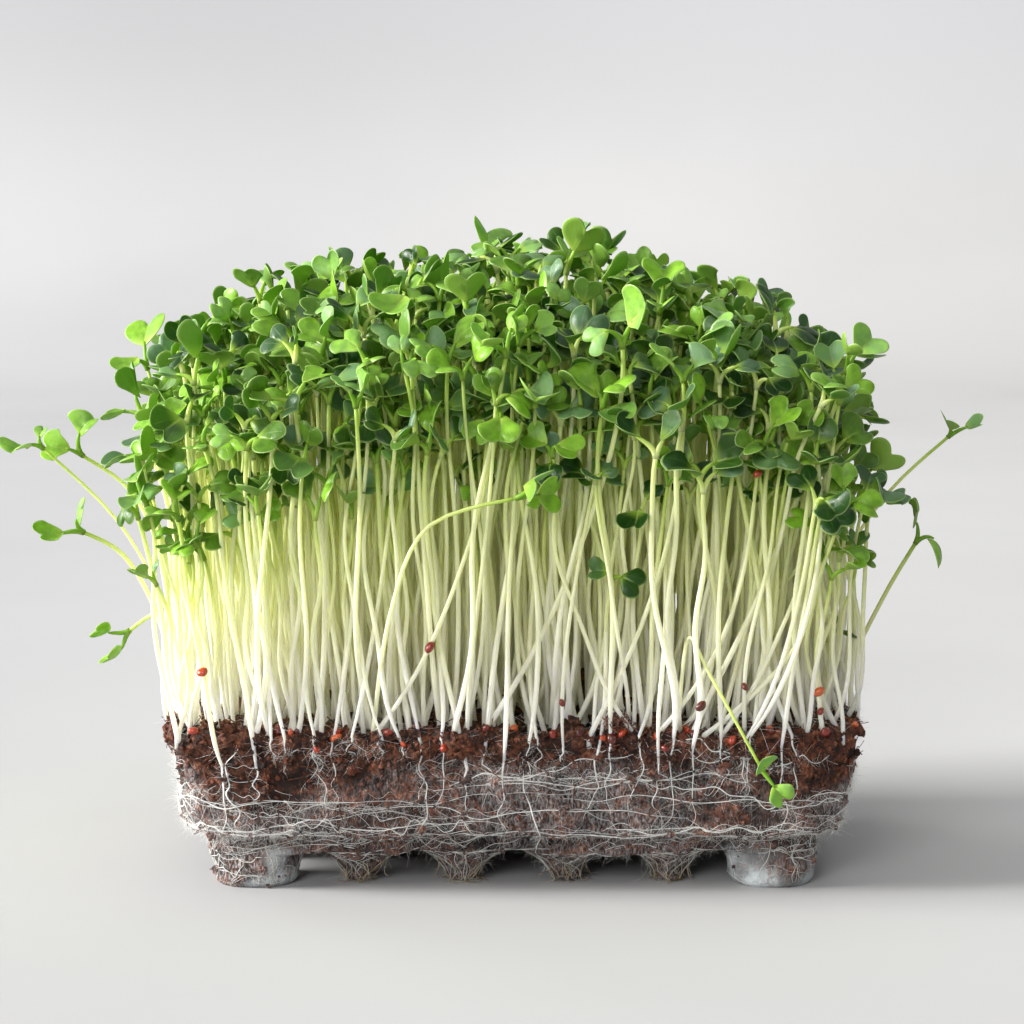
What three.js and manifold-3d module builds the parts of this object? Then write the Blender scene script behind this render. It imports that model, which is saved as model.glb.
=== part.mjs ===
// A block of microgreens lifted out of its growing tray: a root-bound soil block that keeps the tray's
// moulded shape, a net of white roots round its walls, clumps of pale stems standing in the soil, each
// under its own tuft of notched seed leaves, and a few stray seedlings that lean out over the edge.
// Millimetres, +Z up, X along the block's long side, the floor at z = 0 under the block's middle.
import * as THREE from "three";
import { mergeVertices } from "three/addons/utils/BufferGeometryUtils.js";
import Module from "manifold-3d";

const wasm = await Module();
wasm.setup();

// Driving dimensions of the soil block
const BLOCK_LENGTH = 152;
const BLOCK_WIDTH = 106;
const SOIL_TOP = 36;
const CORNER_RADIUS = 16;
const LEDGE_HEIGHT = 13;
const WALL_DRAFT = 3;
const LEDGE_INSET = 6;
const UNDERSIDE = 8;
const FOOT_SIZE = { x: 21, y: 19 };
const FOOT_TAPER = 1.5;
const NUB_COUNT = { x: 4, y: 2 };
const NUB_RADIUS = { top: 8.8, waist: 4.6, bottom: 3 };
const NUB_WAIST = 0.55;
const NUB_LIFT = 0.6;
const NUB_SIDES = 6;
const SEED_COUNT = 18;
const SEED_RADIUS = 1.3;

// Driving dimensions of the greens
const CLUMPS = { x: 5, y: 4 };
const CLUMP_PITCH = { x: 29, y: 24.5 };
const CLUMP_HALF = { x: 13.6, y: 11.4 };
const HOLE_DEPTH = 5;
const FIT_GAP = 0.4;
const STEM_TOP = 91.5;
const STEM_RADIUS = 0.85;
const STEM_RIDGES = 10;
const RIDGE_DEPTH = 0.27;
const STEM_LEAN = 0.16;
const CANOPY_TOP = 138;
const CANOPY_FALL = 17;
const CANOPY_REACH = { x: 84, y: 62 };
const FLARE = { x: 0.1, y: 0.17 };
const LEAF_LENGTH = 12.5;
const LEAF_WIDTH = 16;
const LEAF_THICKNESS = 0.7;
const STUB_HALF = 0.75;
const TOP_PAIRS = 3;
const FLANK_PAIRS = 2;
const STRAY_REACH = 112;

// Driving dimensions of the root net
const ROOT_RADIUS = 0.55;
const ROOT_RINGS = [31.5, 24, 16.5];
const ROOT_DROPS = 10;

const COLOURS = {
  soil: new THREE.MeshStandardMaterial({ color: 0x3b2117, roughness: 0.95, metalness: 0 }),
  root: new THREE.MeshStandardMaterial({ color: 0xe6e2d8, roughness: 0.7, metalness: 0 }),
  stem: new THREE.MeshStandardMaterial({ color: 0xd9dfa6, roughness: 0.5, metalness: 0 }),
  leaf: new THREE.MeshStandardMaterial({ color: 0x3f7a2c, roughness: 0.5, metalness: 0 }),
  stray: new THREE.MeshStandardMaterial({ color: 0x7fa843, roughness: 0.5, metalness: 0 }),
};

// A seeded stream of numbers from 0 to 1
function stream(seed) {
  let state = seed >>> 0;
  return () => {
    state = (state + 0x6d2b79f5) >>> 0;
    let mixed = Math.imul(state ^ (state >>> 15), 1 | state);
    mixed = (mixed + Math.imul(mixed ^ (mixed >>> 7), 61 | mixed)) ^ mixed;
    return ((mixed ^ (mixed >>> 14)) >>> 0) / 4294967296;
  };
}
const draw = stream(4021);
const between = (low, high) => low + (high - low) * draw();

// Solids and geometries
function solidOf(geometry) {
  const bare = geometry.clone();
  bare.deleteAttribute("normal");
  bare.deleteAttribute("uv");
  const merged = mergeVertices(bare, 1e-4);
  const vertProperties = new Float32Array(merged.attributes.position.array);
  const triVerts = new Uint32Array(merged.index.array);
  return new wasm.Manifold(new wasm.Mesh({ numProp: 3, vertProperties, triVerts }));
}

function geometryOf(solid) {
  const { vertProperties, triVerts } = solid.getMesh();
  const geometry = new THREE.BufferGeometry();
  geometry.setAttribute("position", new THREE.BufferAttribute(vertProperties, 3));
  geometry.setIndex(new THREE.BufferAttribute(triVerts, 1));
  geometry.computeVertexNormals();
  return geometry;
}

const fuse = (solids) => solids.reduce((whole, piece) => whole.add(piece));

// A closed skin over rings of points that run anticlockwise seen from above, lowest ring first
function loft(rings) {
  const count = rings[0].length;
  const points = rings.flat();
  const faces = [];
  for (let r = 0; r + 1 < rings.length; r++) {
    for (let i = 0; i < count; i++) {
      const a = r * count + i;
      const b = r * count + ((i + 1) % count);
      faces.push(a, b, b + count, a, b + count, a + count);
    }
  }
  const flat = (ring) => ring.map((p) => new THREE.Vector2(p.x, p.y));
  const top = points.length - count;
  for (const [a, b, c] of THREE.ShapeUtils.triangulateShape(flat(rings[0]), [])) faces.push(c, b, a);
  for (const [a, b, c] of THREE.ShapeUtils.triangulateShape(flat(rings.at(-1)), [])) {
    faces.push(top + a, top + b, top + c);
  }
  return new THREE.BufferGeometry().setFromPoints(points).setIndex(faces);
}

// Points round a rectangle with round corners, anticlockwise
function roundedRing(length, width, radius, z, arcSteps = 4) {
  const ring = [];
  for (let corner = 0; corner < 4; corner++) {
    const sx = corner === 0 || corner === 3 ? 1 : -1;
    const sy = corner < 2 ? 1 : -1;
    for (let i = 0; i <= arcSteps; i++) {
      const angle = (corner + i / arcSteps) * (Math.PI / 2);
      const x = sx * (length / 2 - radius) + radius * Math.cos(angle);
      const y = sy * (width / 2 - radius) + radius * Math.sin(angle);
      ring.push(new THREE.Vector3(x, y, z));
    }
  }
  return ring;
}

// A thin strand along points
function strand(points, radius, sides, steps) {
  const path = new THREE.CatmullRomCurve3(points);
  const section = new THREE.Shape();
  for (let i = 0; i < sides; i++) {
    const angle = (i / sides) * 2 * Math.PI;
    section[i ? "lineTo" : "moveTo"](radius * Math.cos(angle), radius * Math.sin(angle));
  }
  return solidOf(new THREE.ExtrudeGeometry(section, { steps, extrudePath: path, bevelEnabled: false }));
}

// The soil block
const LEDGE_LENGTH = BLOCK_LENGTH - 2 * WALL_DRAFT;
const LEDGE_WIDTH = BLOCK_WIDTH - 2 * WALL_DRAFT;
const BASE_LENGTH = LEDGE_LENGTH - 2 * LEDGE_INSET;
const BASE_WIDTH = LEDGE_WIDTH - 2 * LEDGE_INSET;
const FOOT_CENTRE = { x: (BASE_LENGTH - FOOT_SIZE.x) / 2, y: (BASE_WIDTH - FOOT_SIZE.y) / 2 };
const BASE_RADIUS = CORNER_RADIUS - LEDGE_INSET - 2;
const SUNK = 2;

function upperBody() {
  return loft([
    roundedRing(LEDGE_LENGTH, LEDGE_WIDTH, CORNER_RADIUS - 1, LEDGE_HEIGHT),
    roundedRing(BLOCK_LENGTH, BLOCK_WIDTH, CORNER_RADIUS, SOIL_TOP),
  ]);
}

function lowerSlab() {
  const radius = BASE_RADIUS;
  return loft([
    roundedRing(BASE_LENGTH, BASE_WIDTH, radius, UNDERSIDE),
    roundedRing(BASE_LENGTH + 1, BASE_WIDTH + 1, radius, LEDGE_HEIGHT + SUNK),
  ]);
}

function foot(sx, sy) {
  const radius = FOOT_SIZE.y / 2 - 0.3;
  return loft([
    roundedRing(FOOT_SIZE.x - 2 * FOOT_TAPER, FOOT_SIZE.y - 2 * FOOT_TAPER, radius - FOOT_TAPER, 0, 2),
    roundedRing(FOOT_SIZE.x, FOOT_SIZE.y, radius, UNDERSIDE + SUNK, 2),
  ]).translate(sx * FOOT_CENTRE.x, sy * FOOT_CENTRE.y, 0);
}

// A nub flares where it meets the slab, so that the gaps between nubs are arches
function nub(x, y) {
  const profile = [
    new THREE.Vector2(0, NUB_LIFT),
    new THREE.Vector2(NUB_RADIUS.bottom, NUB_LIFT),
    new THREE.Vector2(NUB_RADIUS.waist, UNDERSIDE * NUB_WAIST),
    new THREE.Vector2(NUB_RADIUS.top, UNDERSIDE + SUNK),
    new THREE.Vector2(0, UNDERSIDE + SUNK),
  ];
  return new THREE.LatheGeometry(profile, NUB_SIDES).rotateX(Math.PI / 2).translate(x, y, 0);
}

// The tray's floor is a grid of wells: the four at the corners make feet and the others make nubs
function feetAndNubs() {
  const grown = [];
  for (let i = 0; i <= NUB_COUNT.x + 1; i++) {
    for (let j = 0; j <= NUB_COUNT.y + 1; j++) {
      const u = (2 * i) / (NUB_COUNT.x + 1) - 1;
      const v = (2 * j) / (NUB_COUNT.y + 1) - 1;
      const corner = Math.abs(u) > 0.99 && Math.abs(v) > 0.99;
      grown.push(corner ? foot(Math.sign(u), Math.sign(v)) : nub(u * FOOT_CENTRE.x, v * FOOT_CENTRE.y));
    }
  }
  return grown;
}

// Seed hulls lie along the rim, sunk to their middles in the soil
function seeds() {
  const rim = roundedRing(BLOCK_LENGTH - 5, BLOCK_WIDTH - 5, CORNER_RADIUS, SOIL_TOP, 5);
  const path = new THREE.CatmullRomCurve3(rim, true, "catmullrom", 0);
  return Array.from({ length: SEED_COUNT }, (_, i) => {
    const place = path.getPointAt((i + between(0.2, 0.8)) / SEED_COUNT);
    return new THREE.OctahedronGeometry(SEED_RADIUS).rotateZ(between(0, 3)).translate(...place);
  });
}

// The clumps' cells
function flared(point) {
  const rise = Math.max(0, (point.z - SOIL_TOP) / (CANOPY_TOP - SOIL_TOP));
  const grow = Math.pow(rise, 1.5);
  point.x *= 1 + FLARE.x * grow;
  point.y *= 1 + FLARE.y * grow;
  return point;
}

function canopyTop(x, y) {
  return CANOPY_TOP - CANOPY_FALL * ((x / CANOPY_REACH.x) ** 2 + (y / CANOPY_REACH.y) ** 2);
}

// A ring round a clump's cell, a rectangle with very round corners, its radius set by a share of the cell
function cellRing(cell, sides, z, share, turn = () => 0) {
  return Array.from({ length: sides }, (_, i) => {
    const angle = (i / sides) * 2 * Math.PI + turn(i);
    const c = Math.cos(angle);
    const s = Math.sin(angle);
    const square = Math.pow(c ** 4 + s ** 4, -1 / 4);
    const reach = square * share(i);
    return flared(new THREE.Vector3(cell.x + CLUMP_HALF.x * c * reach, cell.y + CLUMP_HALF.y * s * reach, z));
  });
}

function cells() {
  const list = [];
  for (let row = 0; row < CLUMPS.y; row++) {
    for (let column = 0; column < CLUMPS.x; column++) {
      const x = (column - (CLUMPS.x - 1) / 2) * CLUMP_PITCH.x;
      const y = (row - (CLUMPS.y - 1) / 2) * CLUMP_PITCH.y;
      const outX = column === 0 ? -1 : column === CLUMPS.x - 1 ? 1 : 0;
      const outY = row === 0 ? -1 : row === CLUMPS.y - 1 ? 1 : 0;
      list.push({ x, y, outX, outY, name: `r${row + 1}_c${column + 1}` });
    }
  }
  return list;
}

const HOLE_SIDES = 12;
const BASE_SHARE = 0.93;

function hole(cell) {
  const grow = BASE_SHARE / Math.cos(Math.PI / HOLE_SIDES) + (1.5 * FIT_GAP) / CLUMP_HALF.y;
  const ring = (z) => cellRing(cell, HOLE_SIDES, z, () => grow, () => Math.PI / HOLE_SIDES);
  return loft([ring(SOIL_TOP - HOLE_DEPTH), ring(SOIL_TOP + 3 * SEED_RADIUS)]);
}

// A clump's stems: a close bundle whose ridges are its stems, each leaning its own way, with single stems
// bowed out of its open sides
const BUNDLE_SIDES = 2 * STEM_RIDGES;

function bundle(cell) {
  const start = between(0, 0.4);
  const leans = Array.from({ length: BUNDLE_SIDES }, () => between(-STEM_LEAN, STEM_LEAN));
  const ridge = (scale) => (i) => scale * (i % 2 ? 1 - RIDGE_DEPTH : 1);
  const turn = (share) => (i) => start + share * leans[i];
  return loft([
    cellRing(cell, BUNDLE_SIDES, SOIL_TOP - HOLE_DEPTH + FIT_GAP, ridge(BASE_SHARE), turn(-0.5)),
    cellRing(cell, BUNDLE_SIDES, STEM_TOP - 18, ridge(1), turn(0.5)),
    cellRing(cell, BUNDLE_SIDES, STEM_TOP, ridge(0.8), turn(0.7)),
  ]);
}

function bowedStem(cell, index, count) {
  const outward = Math.atan2(cell.outY * CLUMP_HALF.y, cell.outX * CLUMP_HALF.x);
  const spread = cell.outX && cell.outY ? 1.5 : 1.1;
  const angle = outward + spread * ((index + 0.5) / count - 0.5) * 2 * between(0.7, 1);
  const lean = between(-0.25, 0.25);
  const at = (share, z, turn) => cellRing(cell, 1, z, () => share, () => angle + turn)[0];
  const path = [at(0.6, SOIL_TOP + 3, 0), at(1.04, SOIL_TOP + 14, lean / 3)];
  path.push(at(1.14, SOIL_TOP + 32, (2 * lean) / 3), at(0.6, STEM_TOP - 5, lean));
  return strand(path, STEM_RADIUS, 3, 5);
}

function stems(cell) {
  const count = Math.abs(cell.outX) + Math.abs(cell.outY);
  const bowed = Array.from({ length: count }, (_, i) => bowedStem(cell, i, count));
  return fuse([solidOf(bundle(cell)), ...bowed]);
}

// Two notched seed leaves on one stalk, as one closed skin. The stalk runs down from the origin.
// grow thickens the skin on every side, for testing what it would touch.
function leafPair({ size, second, lift, fold, stub, grow = 0 }) {
  const points = [];
  const faces = [];
  const thickness = LEAF_THICKNESS + 2 * grow;
  const add = (x, y, z) => points.push(new THREE.Vector3(x, y, z)) - 1;
  const half = STUB_HALF + grow;
  const corners = [[1, 1], [-1, 1], [-1, -1], [1, -1]];
  const top = corners.map(([x, y]) => add(half * x, half * y, grow));
  const under = corners.map(([x, y]) => add(half * x, half * y, grow - thickness));
  const tip = corners.map(([x, y]) => add(half * x * 0.8, half * y * 0.8, -stub));

  const outline = [[0.66, -0.5], [1, -0.29], [0.8, 0], [1, 0.29], [0.66, 0.5]];
  const notch = 3;
  const leaf = (sign, scale, first, last) => {
    const rise = Math.sin(lift);
    const run = Math.cos(lift);
    const place = ([u, v], drop) => {
      const along = (u * LEAF_LENGTH + grow) * scale * size;
      const across = v * (LEAF_WIDTH + 2 * grow) * scale * size;
      const up = along * rise + Math.abs(across) * fold;
      return add(sign * (half + along * run), sign * across, up + grow - drop);
    };
    const upper = [top[first], ...outline.map((p) => place(p, 0)), top[last]];
    const lower = [under[first], ...outline.map((p) => place(p, thickness)), under[last]];
    const count = upper.length;
    for (let i = 1; i + 1 < count; i++) {
      const a = (notch + i) % count;
      const b = (notch + i + 1) % count;
      faces.push(upper[notch], upper[a], upper[b], lower[notch], lower[b], lower[a]);
    }
    for (let i = 0; i + 1 < count; i++) {
      faces.push(lower[i], lower[i + 1], upper[i + 1], lower[i], upper[i + 1], upper[i]);
    }
  };
  leaf(1, 1, 3, 0);
  leaf(-1, second, 1, 2);

  faces.push(top[0], top[1], top[2], top[0], top[2], top[3]);
  for (const [a, b] of [[0, 1], [2, 3]]) {
    faces.push(under[a], under[b], top[b], under[a], top[b], top[a]);
  }
  for (let a = 0; a < 4; a++) {
    const b = (a + 1) % 4;
    faces.push(tip[a], tip[b], under[b], tip[a], under[b], under[a]);
  }
  faces.push(tip[0], tip[3], tip[2], tip[0], tip[2], tip[1]);
  return new THREE.BufferGeometry().setFromPoints(points).setIndex(faces);
}

// Stands a leaf pair at a point, its stalk running back along -axis and its leaves turned by spin
function standing(pair, place, axis, spin) {
  const turn = new THREE.Quaternion().setFromUnitVectors(new THREE.Vector3(0, 0, 1), axis);
  return pair.rotateZ(spin).applyQuaternion(turn).translate(place.x, place.y, place.z);
}

// The dark heart of a clump's tuft, smaller than the tuft, which the leaf stalks stand out of
const HEART_SIDES = 8;
const HEART_BASE = STEM_TOP + FIT_GAP;
const HEART_DEPTH = 15;

function heart(cell) {
  const top = canopyTop(cell.x, cell.y) - HEART_DEPTH;
  const middle = HEART_BASE + 0.45 * (top - HEART_BASE);
  return loft([
    cellRing(cell, HEART_SIDES, HEART_BASE, () => 0.6),
    cellRing(cell, HEART_SIDES, middle, () => 0.68),
    cellRing(cell, HEART_SIDES, top, () => 0.4),
  ]);
}

// Where a tuft's leaf pairs stand: on top of the heart, and out of its open sides on the block's edge
function topPlace(cell, index) {
  const angle = ((index + between(-0.2, 0.2)) / TOP_PAIRS) * 2 * Math.PI + cell.x;
  const x = cell.x + 0.55 * CLUMP_HALF.x * Math.cos(angle);
  const y = cell.y + 0.55 * CLUMP_HALF.y * Math.sin(angle);
  const place = flared(new THREE.Vector3(x, y, canopyTop(x, y) - between(1, 7)));
  const root = flared(new THREE.Vector3(cell.x, cell.y, canopyTop(cell.x, cell.y) - HEART_DEPTH - 5));
  return { place, root };
}

function flankPlace(cell, index, count) {
  const outward = Math.atan2(cell.outY, cell.outX) + 1.5 * ((index + 0.5) / count - 0.5);
  const level = HEART_BASE + between(2, 16) + 3 * (index % 2);
  const point = (reach, z) => {
    const x = cell.x + reach * CLUMP_HALF.x * Math.cos(outward);
    const y = cell.y + reach * CLUMP_HALF.y * Math.sin(outward);
    return flared(new THREE.Vector3(x, y, z));
  };
  return { place: point(between(1.1, 1.45), level), root: point(0.35, level - 4) };
}

// A leaf pair that keeps clear of every other clump is sought by turning and tilting it afresh
const TRIES = 60;
const CLEARANCE = 0.35;

function clearPair(seat, others, own, reach) {
  for (let attempt = 0; attempt < TRIES; attempt++) {
    const { place, root } = seat();
    const axis = place.clone().sub(root);
    const stub = axis.length();
    axis.normalize();
    const form = { size: between(0.85, 1.05), second: between(0.7, 0.95), stub };
    form.lift = between(0.15, 0.6);
    form.fold = between(0.05, 0.3);
    const spin = between(0, 2 * Math.PI);
    const build = (change) => standing(leafPair({ ...form, ...change }), place, axis, spin);
    const trial = build({ grow: CLEARANCE });
    trial.computeBoundingBox();
    const { min, max } = trial.boundingBox;
    const inside = Math.max(-min.x, max.x) < reach.x && Math.max(-min.y, max.y) < reach.y && max.z < reach.z;
    const clear = (shape, list) => list.every((other) => solidOf(shape).intersect(other).isEmpty());
    if (inside && clear(trial, others) && clear(build({ stub: 2 }), own)) return solidOf(build({}));
  }
  return null;
}

function tuft(cell, others, reach) {
  const grown = [solidOf(heart(cell))];
  const open = Math.abs(cell.outX) + Math.abs(cell.outY);
  const flank = open ? open + FLANK_PAIRS : 0;
  for (let i = 0; i < flank + TOP_PAIRS; i++) {
    const seat = () => (i < flank ? flankPlace(cell, i, flank) : topPlace(cell, i - flank));
    const pair = clearPair(seat, others, grown, reach);
    if (pair) grown.push(pair);
  }
  return fuse(grown);
}

// Stray seedlings lean out over the block's edge. Each is a stem along a route with a leaf pair at its end.
// A route's first point stands in the soil by the rim.
const STRAY_SINK = 3;
const STRAYS = {
  far_left: [[-72, -22, 36], [-76, -23, 56], [-87, -25, 78], [-103.5, -27, 95]],
  left_fan_upper: [[-73, -8, 36], [-77, -9, 60], [-85, -11, 82], [-97, -13, 92]],
  left_fan_lower: [[-73, -32, 36], [-77, -34, 57], [-84, -38, 72], [-93, -41, 78]],
  left_low: [[-73, 26, 36], [-78, 27, 45], [-85, 29, 50], [-93, 31, 45]],
  right_far: [[72, 30, 36], [77, 32, 58], [90, 35, 78], [105.4, 38, 92]],
  right_low: [[73, -12, 36], [77, -13, 47], [84, -15, 62], [90, -17, 73]],
  front_droop: [[35, -50, 36], [36.5, -57, 57], [41, -60.5, 50], [52, -61.5, 30]],
  front_arch: [[-30, -50, 36], [-26, -58, 62], [-18, -60.5, 81], [1, -62, 87.5]],
};

function stray(route) {
  const points = route.map((p) => new THREE.Vector3(...p));
  const sunk = points[0].clone().setZ(points[0].z - STRAY_SINK);
  const stem = strand([sunk, ...points], STEM_RADIUS, 3, 8);
  const end = points.at(-1);
  const axis = end.clone().sub(points.at(-2)).normalize();
  const form = { size: 0.6, second: 0.85, lift: 0.5, fold: 0.15, stub: 2.5 };
  return stem.add(solidOf(standing(leafPair(form), end, axis, between(0, 3))));
}

function strayHole([x, y]) {
  const depth = STRAY_SINK + FIT_GAP;
  const radius = 2.3 * STEM_RADIUS;
  return new THREE.CylinderGeometry(radius, radius, 2 * depth, 6)
    .rotateX(Math.PI / 2)
    .translate(x, y, SOIL_TOP);
}

// The root net: wavy rings round the walls, tied together by drops that run over the ledge
const OFF_WALL = ROOT_RADIUS + FIT_GAP;
const ROOT_SIDES = 3;
const SIDE_STEPS = 4;

// Points round the wall at a height, a set distance off it, with the straight sides split into steps
function wallRing(z, off) {
  const share = (z - LEDGE_HEIGHT) / (SOIL_TOP - LEDGE_HEIGHT);
  const upper = z >= LEDGE_HEIGHT;
  const length = upper ? THREE.MathUtils.lerp(LEDGE_LENGTH, BLOCK_LENGTH, share) : BASE_LENGTH + 1;
  const width = upper ? THREE.MathUtils.lerp(LEDGE_WIDTH, BLOCK_WIDTH, share) : BASE_WIDTH + 1;
  const radius = upper ? CORNER_RADIUS : BASE_RADIUS;
  const ring = roundedRing(length + 2 * off, width + 2 * off, radius + off, z);
  return ring.flatMap((point, i) => {
    const next = ring[(i + 1) % ring.length];
    const steps = point.distanceTo(next) > 2 * radius ? SIDE_STEPS : 1;
    return Array.from({ length: steps }, (_, k) => point.clone().lerp(next, k / steps));
  });
}

// One endless wavy root round the block
function rootRing(z, sway) {
  const phase = between(0, 6);
  const ring = wallRing(z, OFF_WALL + 0.5);
  const count = ring.length;
  const points = [];
  const faces = [];
  ring.forEach((place, i) => {
    const along = ring[(i + 1) % count].clone().sub(ring[(i + count - 1) % count]).normalize();
    const turn = (2 * Math.PI * i) / count;
    const wave = Math.sin(5 * turn + phase) + 0.6 * Math.sin(11 * turn - phase);
    for (let k = 0; k < ROOT_SIDES; k++) {
      const angle = (2 * Math.PI * k) / ROOT_SIDES;
      const out = ROOT_RADIUS * Math.cos(angle);
      const up = ROOT_RADIUS * Math.sin(angle) + sway * wave;
      points.push(new THREE.Vector3(place.x + along.y * out, place.y - along.x * out, z + up));
      const a = i * ROOT_SIDES + k;
      const b = i * ROOT_SIDES + ((k + 1) % ROOT_SIDES);
      const c = ((i + 1) % count) * ROOT_SIDES + k;
      const d = ((i + 1) % count) * ROOT_SIDES + ((k + 1) % ROOT_SIDES);
      faces.push(a, c, d, a, d, b);
    }
  });
  return solidOf(new THREE.BufferGeometry().setFromPoints(points).setIndex(faces));
}

function rootDrop(index) {
  const turn = (index + between(0.2, 0.8)) / ROOT_DROPS;
  const slant = between(-0.012, 0.012);
  const at = (z, off, share) => {
    const ring = new THREE.CatmullRomCurve3(wallRing(z, off), true, "catmullrom", 0);
    return ring.getPointAt((turn + slant * share + 1) % 1);
  };
  const over = OFF_WALL + 0.45;
  const points = [at(ROOT_RINGS[0] + 1.5, over, 0), at(24, over, 0.5), at(LEDGE_HEIGHT + 0.5, over, 1)];
  points.push(at(LEDGE_HEIGHT - 1.4, over + LEDGE_INSET - 1.2, 1));
  points.push(at(UNDERSIDE + 2.6, over + 1.2, 1), at(UNDERSIDE + 1.2, over - 0.1, 1));
  return strand(points, ROOT_RADIUS, 3, 8);
}

function rootNet() {
  const rings = ROOT_RINGS.map((z, i) => rootRing(z, i ? 0.9 : 0.4));
  const low = rootRing(UNDERSIDE + 2.2, 0.2);
  const drops = Array.from({ length: ROOT_DROPS }, (_, i) => rootDrop(i));
  return fuse([...rings, low, ...drops]);
}

// The assembly
const tray = new THREE.Group();

function place(name, solid, material) {
  const mesh = new THREE.Mesh(geometryOf(solid), material);
  mesh.name = name;
  tray.add(mesh);
}

const plan = cells();
const soilGrown = [upperBody(), lowerSlab(), ...feetAndNubs(), ...seeds()].map(solidOf);
const strayHoles = Object.values(STRAYS).map((route) => strayHole(route[0]));
const soilCut = [...plan.map(hole), ...strayHoles].map(solidOf);
place("soil_block", fuse(soilGrown).subtract(fuse(soilCut)), COLOURS.soil);
place("root_net", rootNet(), COLOURS.root);

const standingStems = plan.map(stems);
const strays = Object.entries(STRAYS).map(([name, route]) => [name, stray(route)]);
plan.forEach((cell, i) => place(`stems_${cell.name}`, standingStems[i], COLOURS.stem));
strays.forEach(([name, solid]) => place(`stray_${name}`, solid, COLOURS.stray));

const canopyReach = { x: STRAY_REACH - 12, y: BLOCK_WIDTH / 2 + 16, z: CANOPY_TOP + 5 };
const hearts = plan.map((cell) => solidOf(heart(cell)));
const tufts = [];
plan.forEach((cell, i) => {
  const laterHearts = hearts.slice(i + 1);
  const others = [...tufts, ...laterHearts, ...standingStems, ...strays.map(([, solid]) => solid)];
  tufts.push(tuft(cell, others, canopyReach));
  place(`leaves_${cell.name}`, tufts[i], COLOURS.leaf);
});

export default tray;
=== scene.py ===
"""Microgreens on a root-bound block, dressed for the photograph.

Lengths are in millimetres, and each piece is scaled to metres when its mesh is made. The stage, the lamps and
the camera are in metres."""
import itertools
import math
import bmesh
import bpy
import numpy as np
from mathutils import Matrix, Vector
from mathutils.bvhtree import BVHTree


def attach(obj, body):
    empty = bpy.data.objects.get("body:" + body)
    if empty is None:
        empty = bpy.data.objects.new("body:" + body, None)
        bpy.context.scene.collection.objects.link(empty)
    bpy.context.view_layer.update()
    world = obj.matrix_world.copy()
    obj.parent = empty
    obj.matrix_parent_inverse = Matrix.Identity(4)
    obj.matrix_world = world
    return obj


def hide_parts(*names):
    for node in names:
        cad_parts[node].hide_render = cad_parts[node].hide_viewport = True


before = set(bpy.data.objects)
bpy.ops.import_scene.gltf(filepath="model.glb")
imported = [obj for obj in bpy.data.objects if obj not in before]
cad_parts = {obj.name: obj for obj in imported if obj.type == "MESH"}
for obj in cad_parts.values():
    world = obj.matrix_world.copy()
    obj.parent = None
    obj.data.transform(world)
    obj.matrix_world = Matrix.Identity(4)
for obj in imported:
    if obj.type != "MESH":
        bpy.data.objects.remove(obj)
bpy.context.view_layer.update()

MM = 0.001
TAU = 2 * math.pi
join = np.concatenate
rng = np.random.default_rng(4021)

# The block and the stand, as in the solids
BLOCK_LENGTH, BLOCK_WIDTH, SOIL_TOP, CORNER_RADIUS = 152.0, 106.0, 36.0, 16.0
WALL_DRAFT, LEDGE_INSET, UNDERSIDE = 3.0, 6.0, 8.0
HALF = (BLOCK_LENGTH / 2, BLOCK_WIDTH / 2)
BASE_LENGTH = BLOCK_LENGTH - 2 * (WALL_DRAFT + LEDGE_INSET)
BASE_WIDTH = BLOCK_WIDTH - 2 * (WALL_DRAFT + LEDGE_INSET)
FOOT = (21.0, 19.0)
FOOT_CENTRE = ((BASE_LENGTH - FOOT[0]) / 2, (BASE_WIDTH - FOOT[1]) / 2)
NUBS = (4, 2)
CLUMPS = (5, 4)
PITCH = (29.0, 24.5)
CANOPY_TOP, CANOPY_FALL = 138.0, 17.0
CANOPY_REACH = (84.0, 62.0)
FLARE = (0.1, 0.17)
STEM_RADIUS = 0.6


def unit(v):
    return v / np.maximum(np.linalg.norm(v, axis=-1, keepdims=True), 1e-9)


def smooth(low, high, x):
    t = np.clip((x - low) / (high - low), 0, 1)
    return t * t * (3 - 2 * t)


def shares(steps):
    return np.linspace(0, 1, steps)[None]


def eased(paths, times):
    """Paths with their bends softened."""
    for _ in range(times):
        paths[:, 1:-1] = 0.25 * paths[:, :-2] + 0.5 * paths[:, 1:-1] + 0.25 * paths[:, 2:]
    return paths


def catmull(knots, i, f):
    """Points on a curve through its knots, at share f of the way on from each knot i."""
    a, b, c, d = (knots[i + k] for k in range(4))
    return 0.5 * (2 * b + (c - a) * f + (2 * a - 5 * b + 4 * c - d) * f ** 2
                  + (3 * b - a - 3 * c + d) * f ** 3)


def bezier(a, b, c, d, steps):
    u = shares(steps)[:, :, None]
    return ((1 - u) ** 3 * a[:, None] + 3 * u * (1 - u) ** 2 * b[:, None] + 3 * u ** 2 * (1 - u) * c[:, None]
            + u ** 3 * d[:, None])


# Whole numbers that scatter the lattice of the noise
SCATTER, MASK = np.array([374761393, 668265263, 2147483647]), 0xFFFFFFFF
STIR, STIR_AGAIN = 1274126177, 2246822519


def lattice(cell, seed):
    h = (cell @ SCATTER + seed * STIR) & MASK
    h = ((h ^ (h >> 13)) * STIR) & MASK
    h = ((h ^ (h >> 16)) * STIR_AGAIN) & MASK
    return (h ^ (h >> 15)) / 2147483648.0 - 1.0


def noise(p, size, seed):
    """Smooth noise from -1 to 1, for lumps and crumbs."""
    q = p / size
    low = np.floor(q)
    f = q - low
    f = f * f * (3 - 2 * f)
    low = low.astype(np.int64)
    return sum(np.where(step, f, 1 - f).prod(axis=1) * lattice(low + step, seed)
               for step in itertools.product((0, 1), repeat=3))


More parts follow.
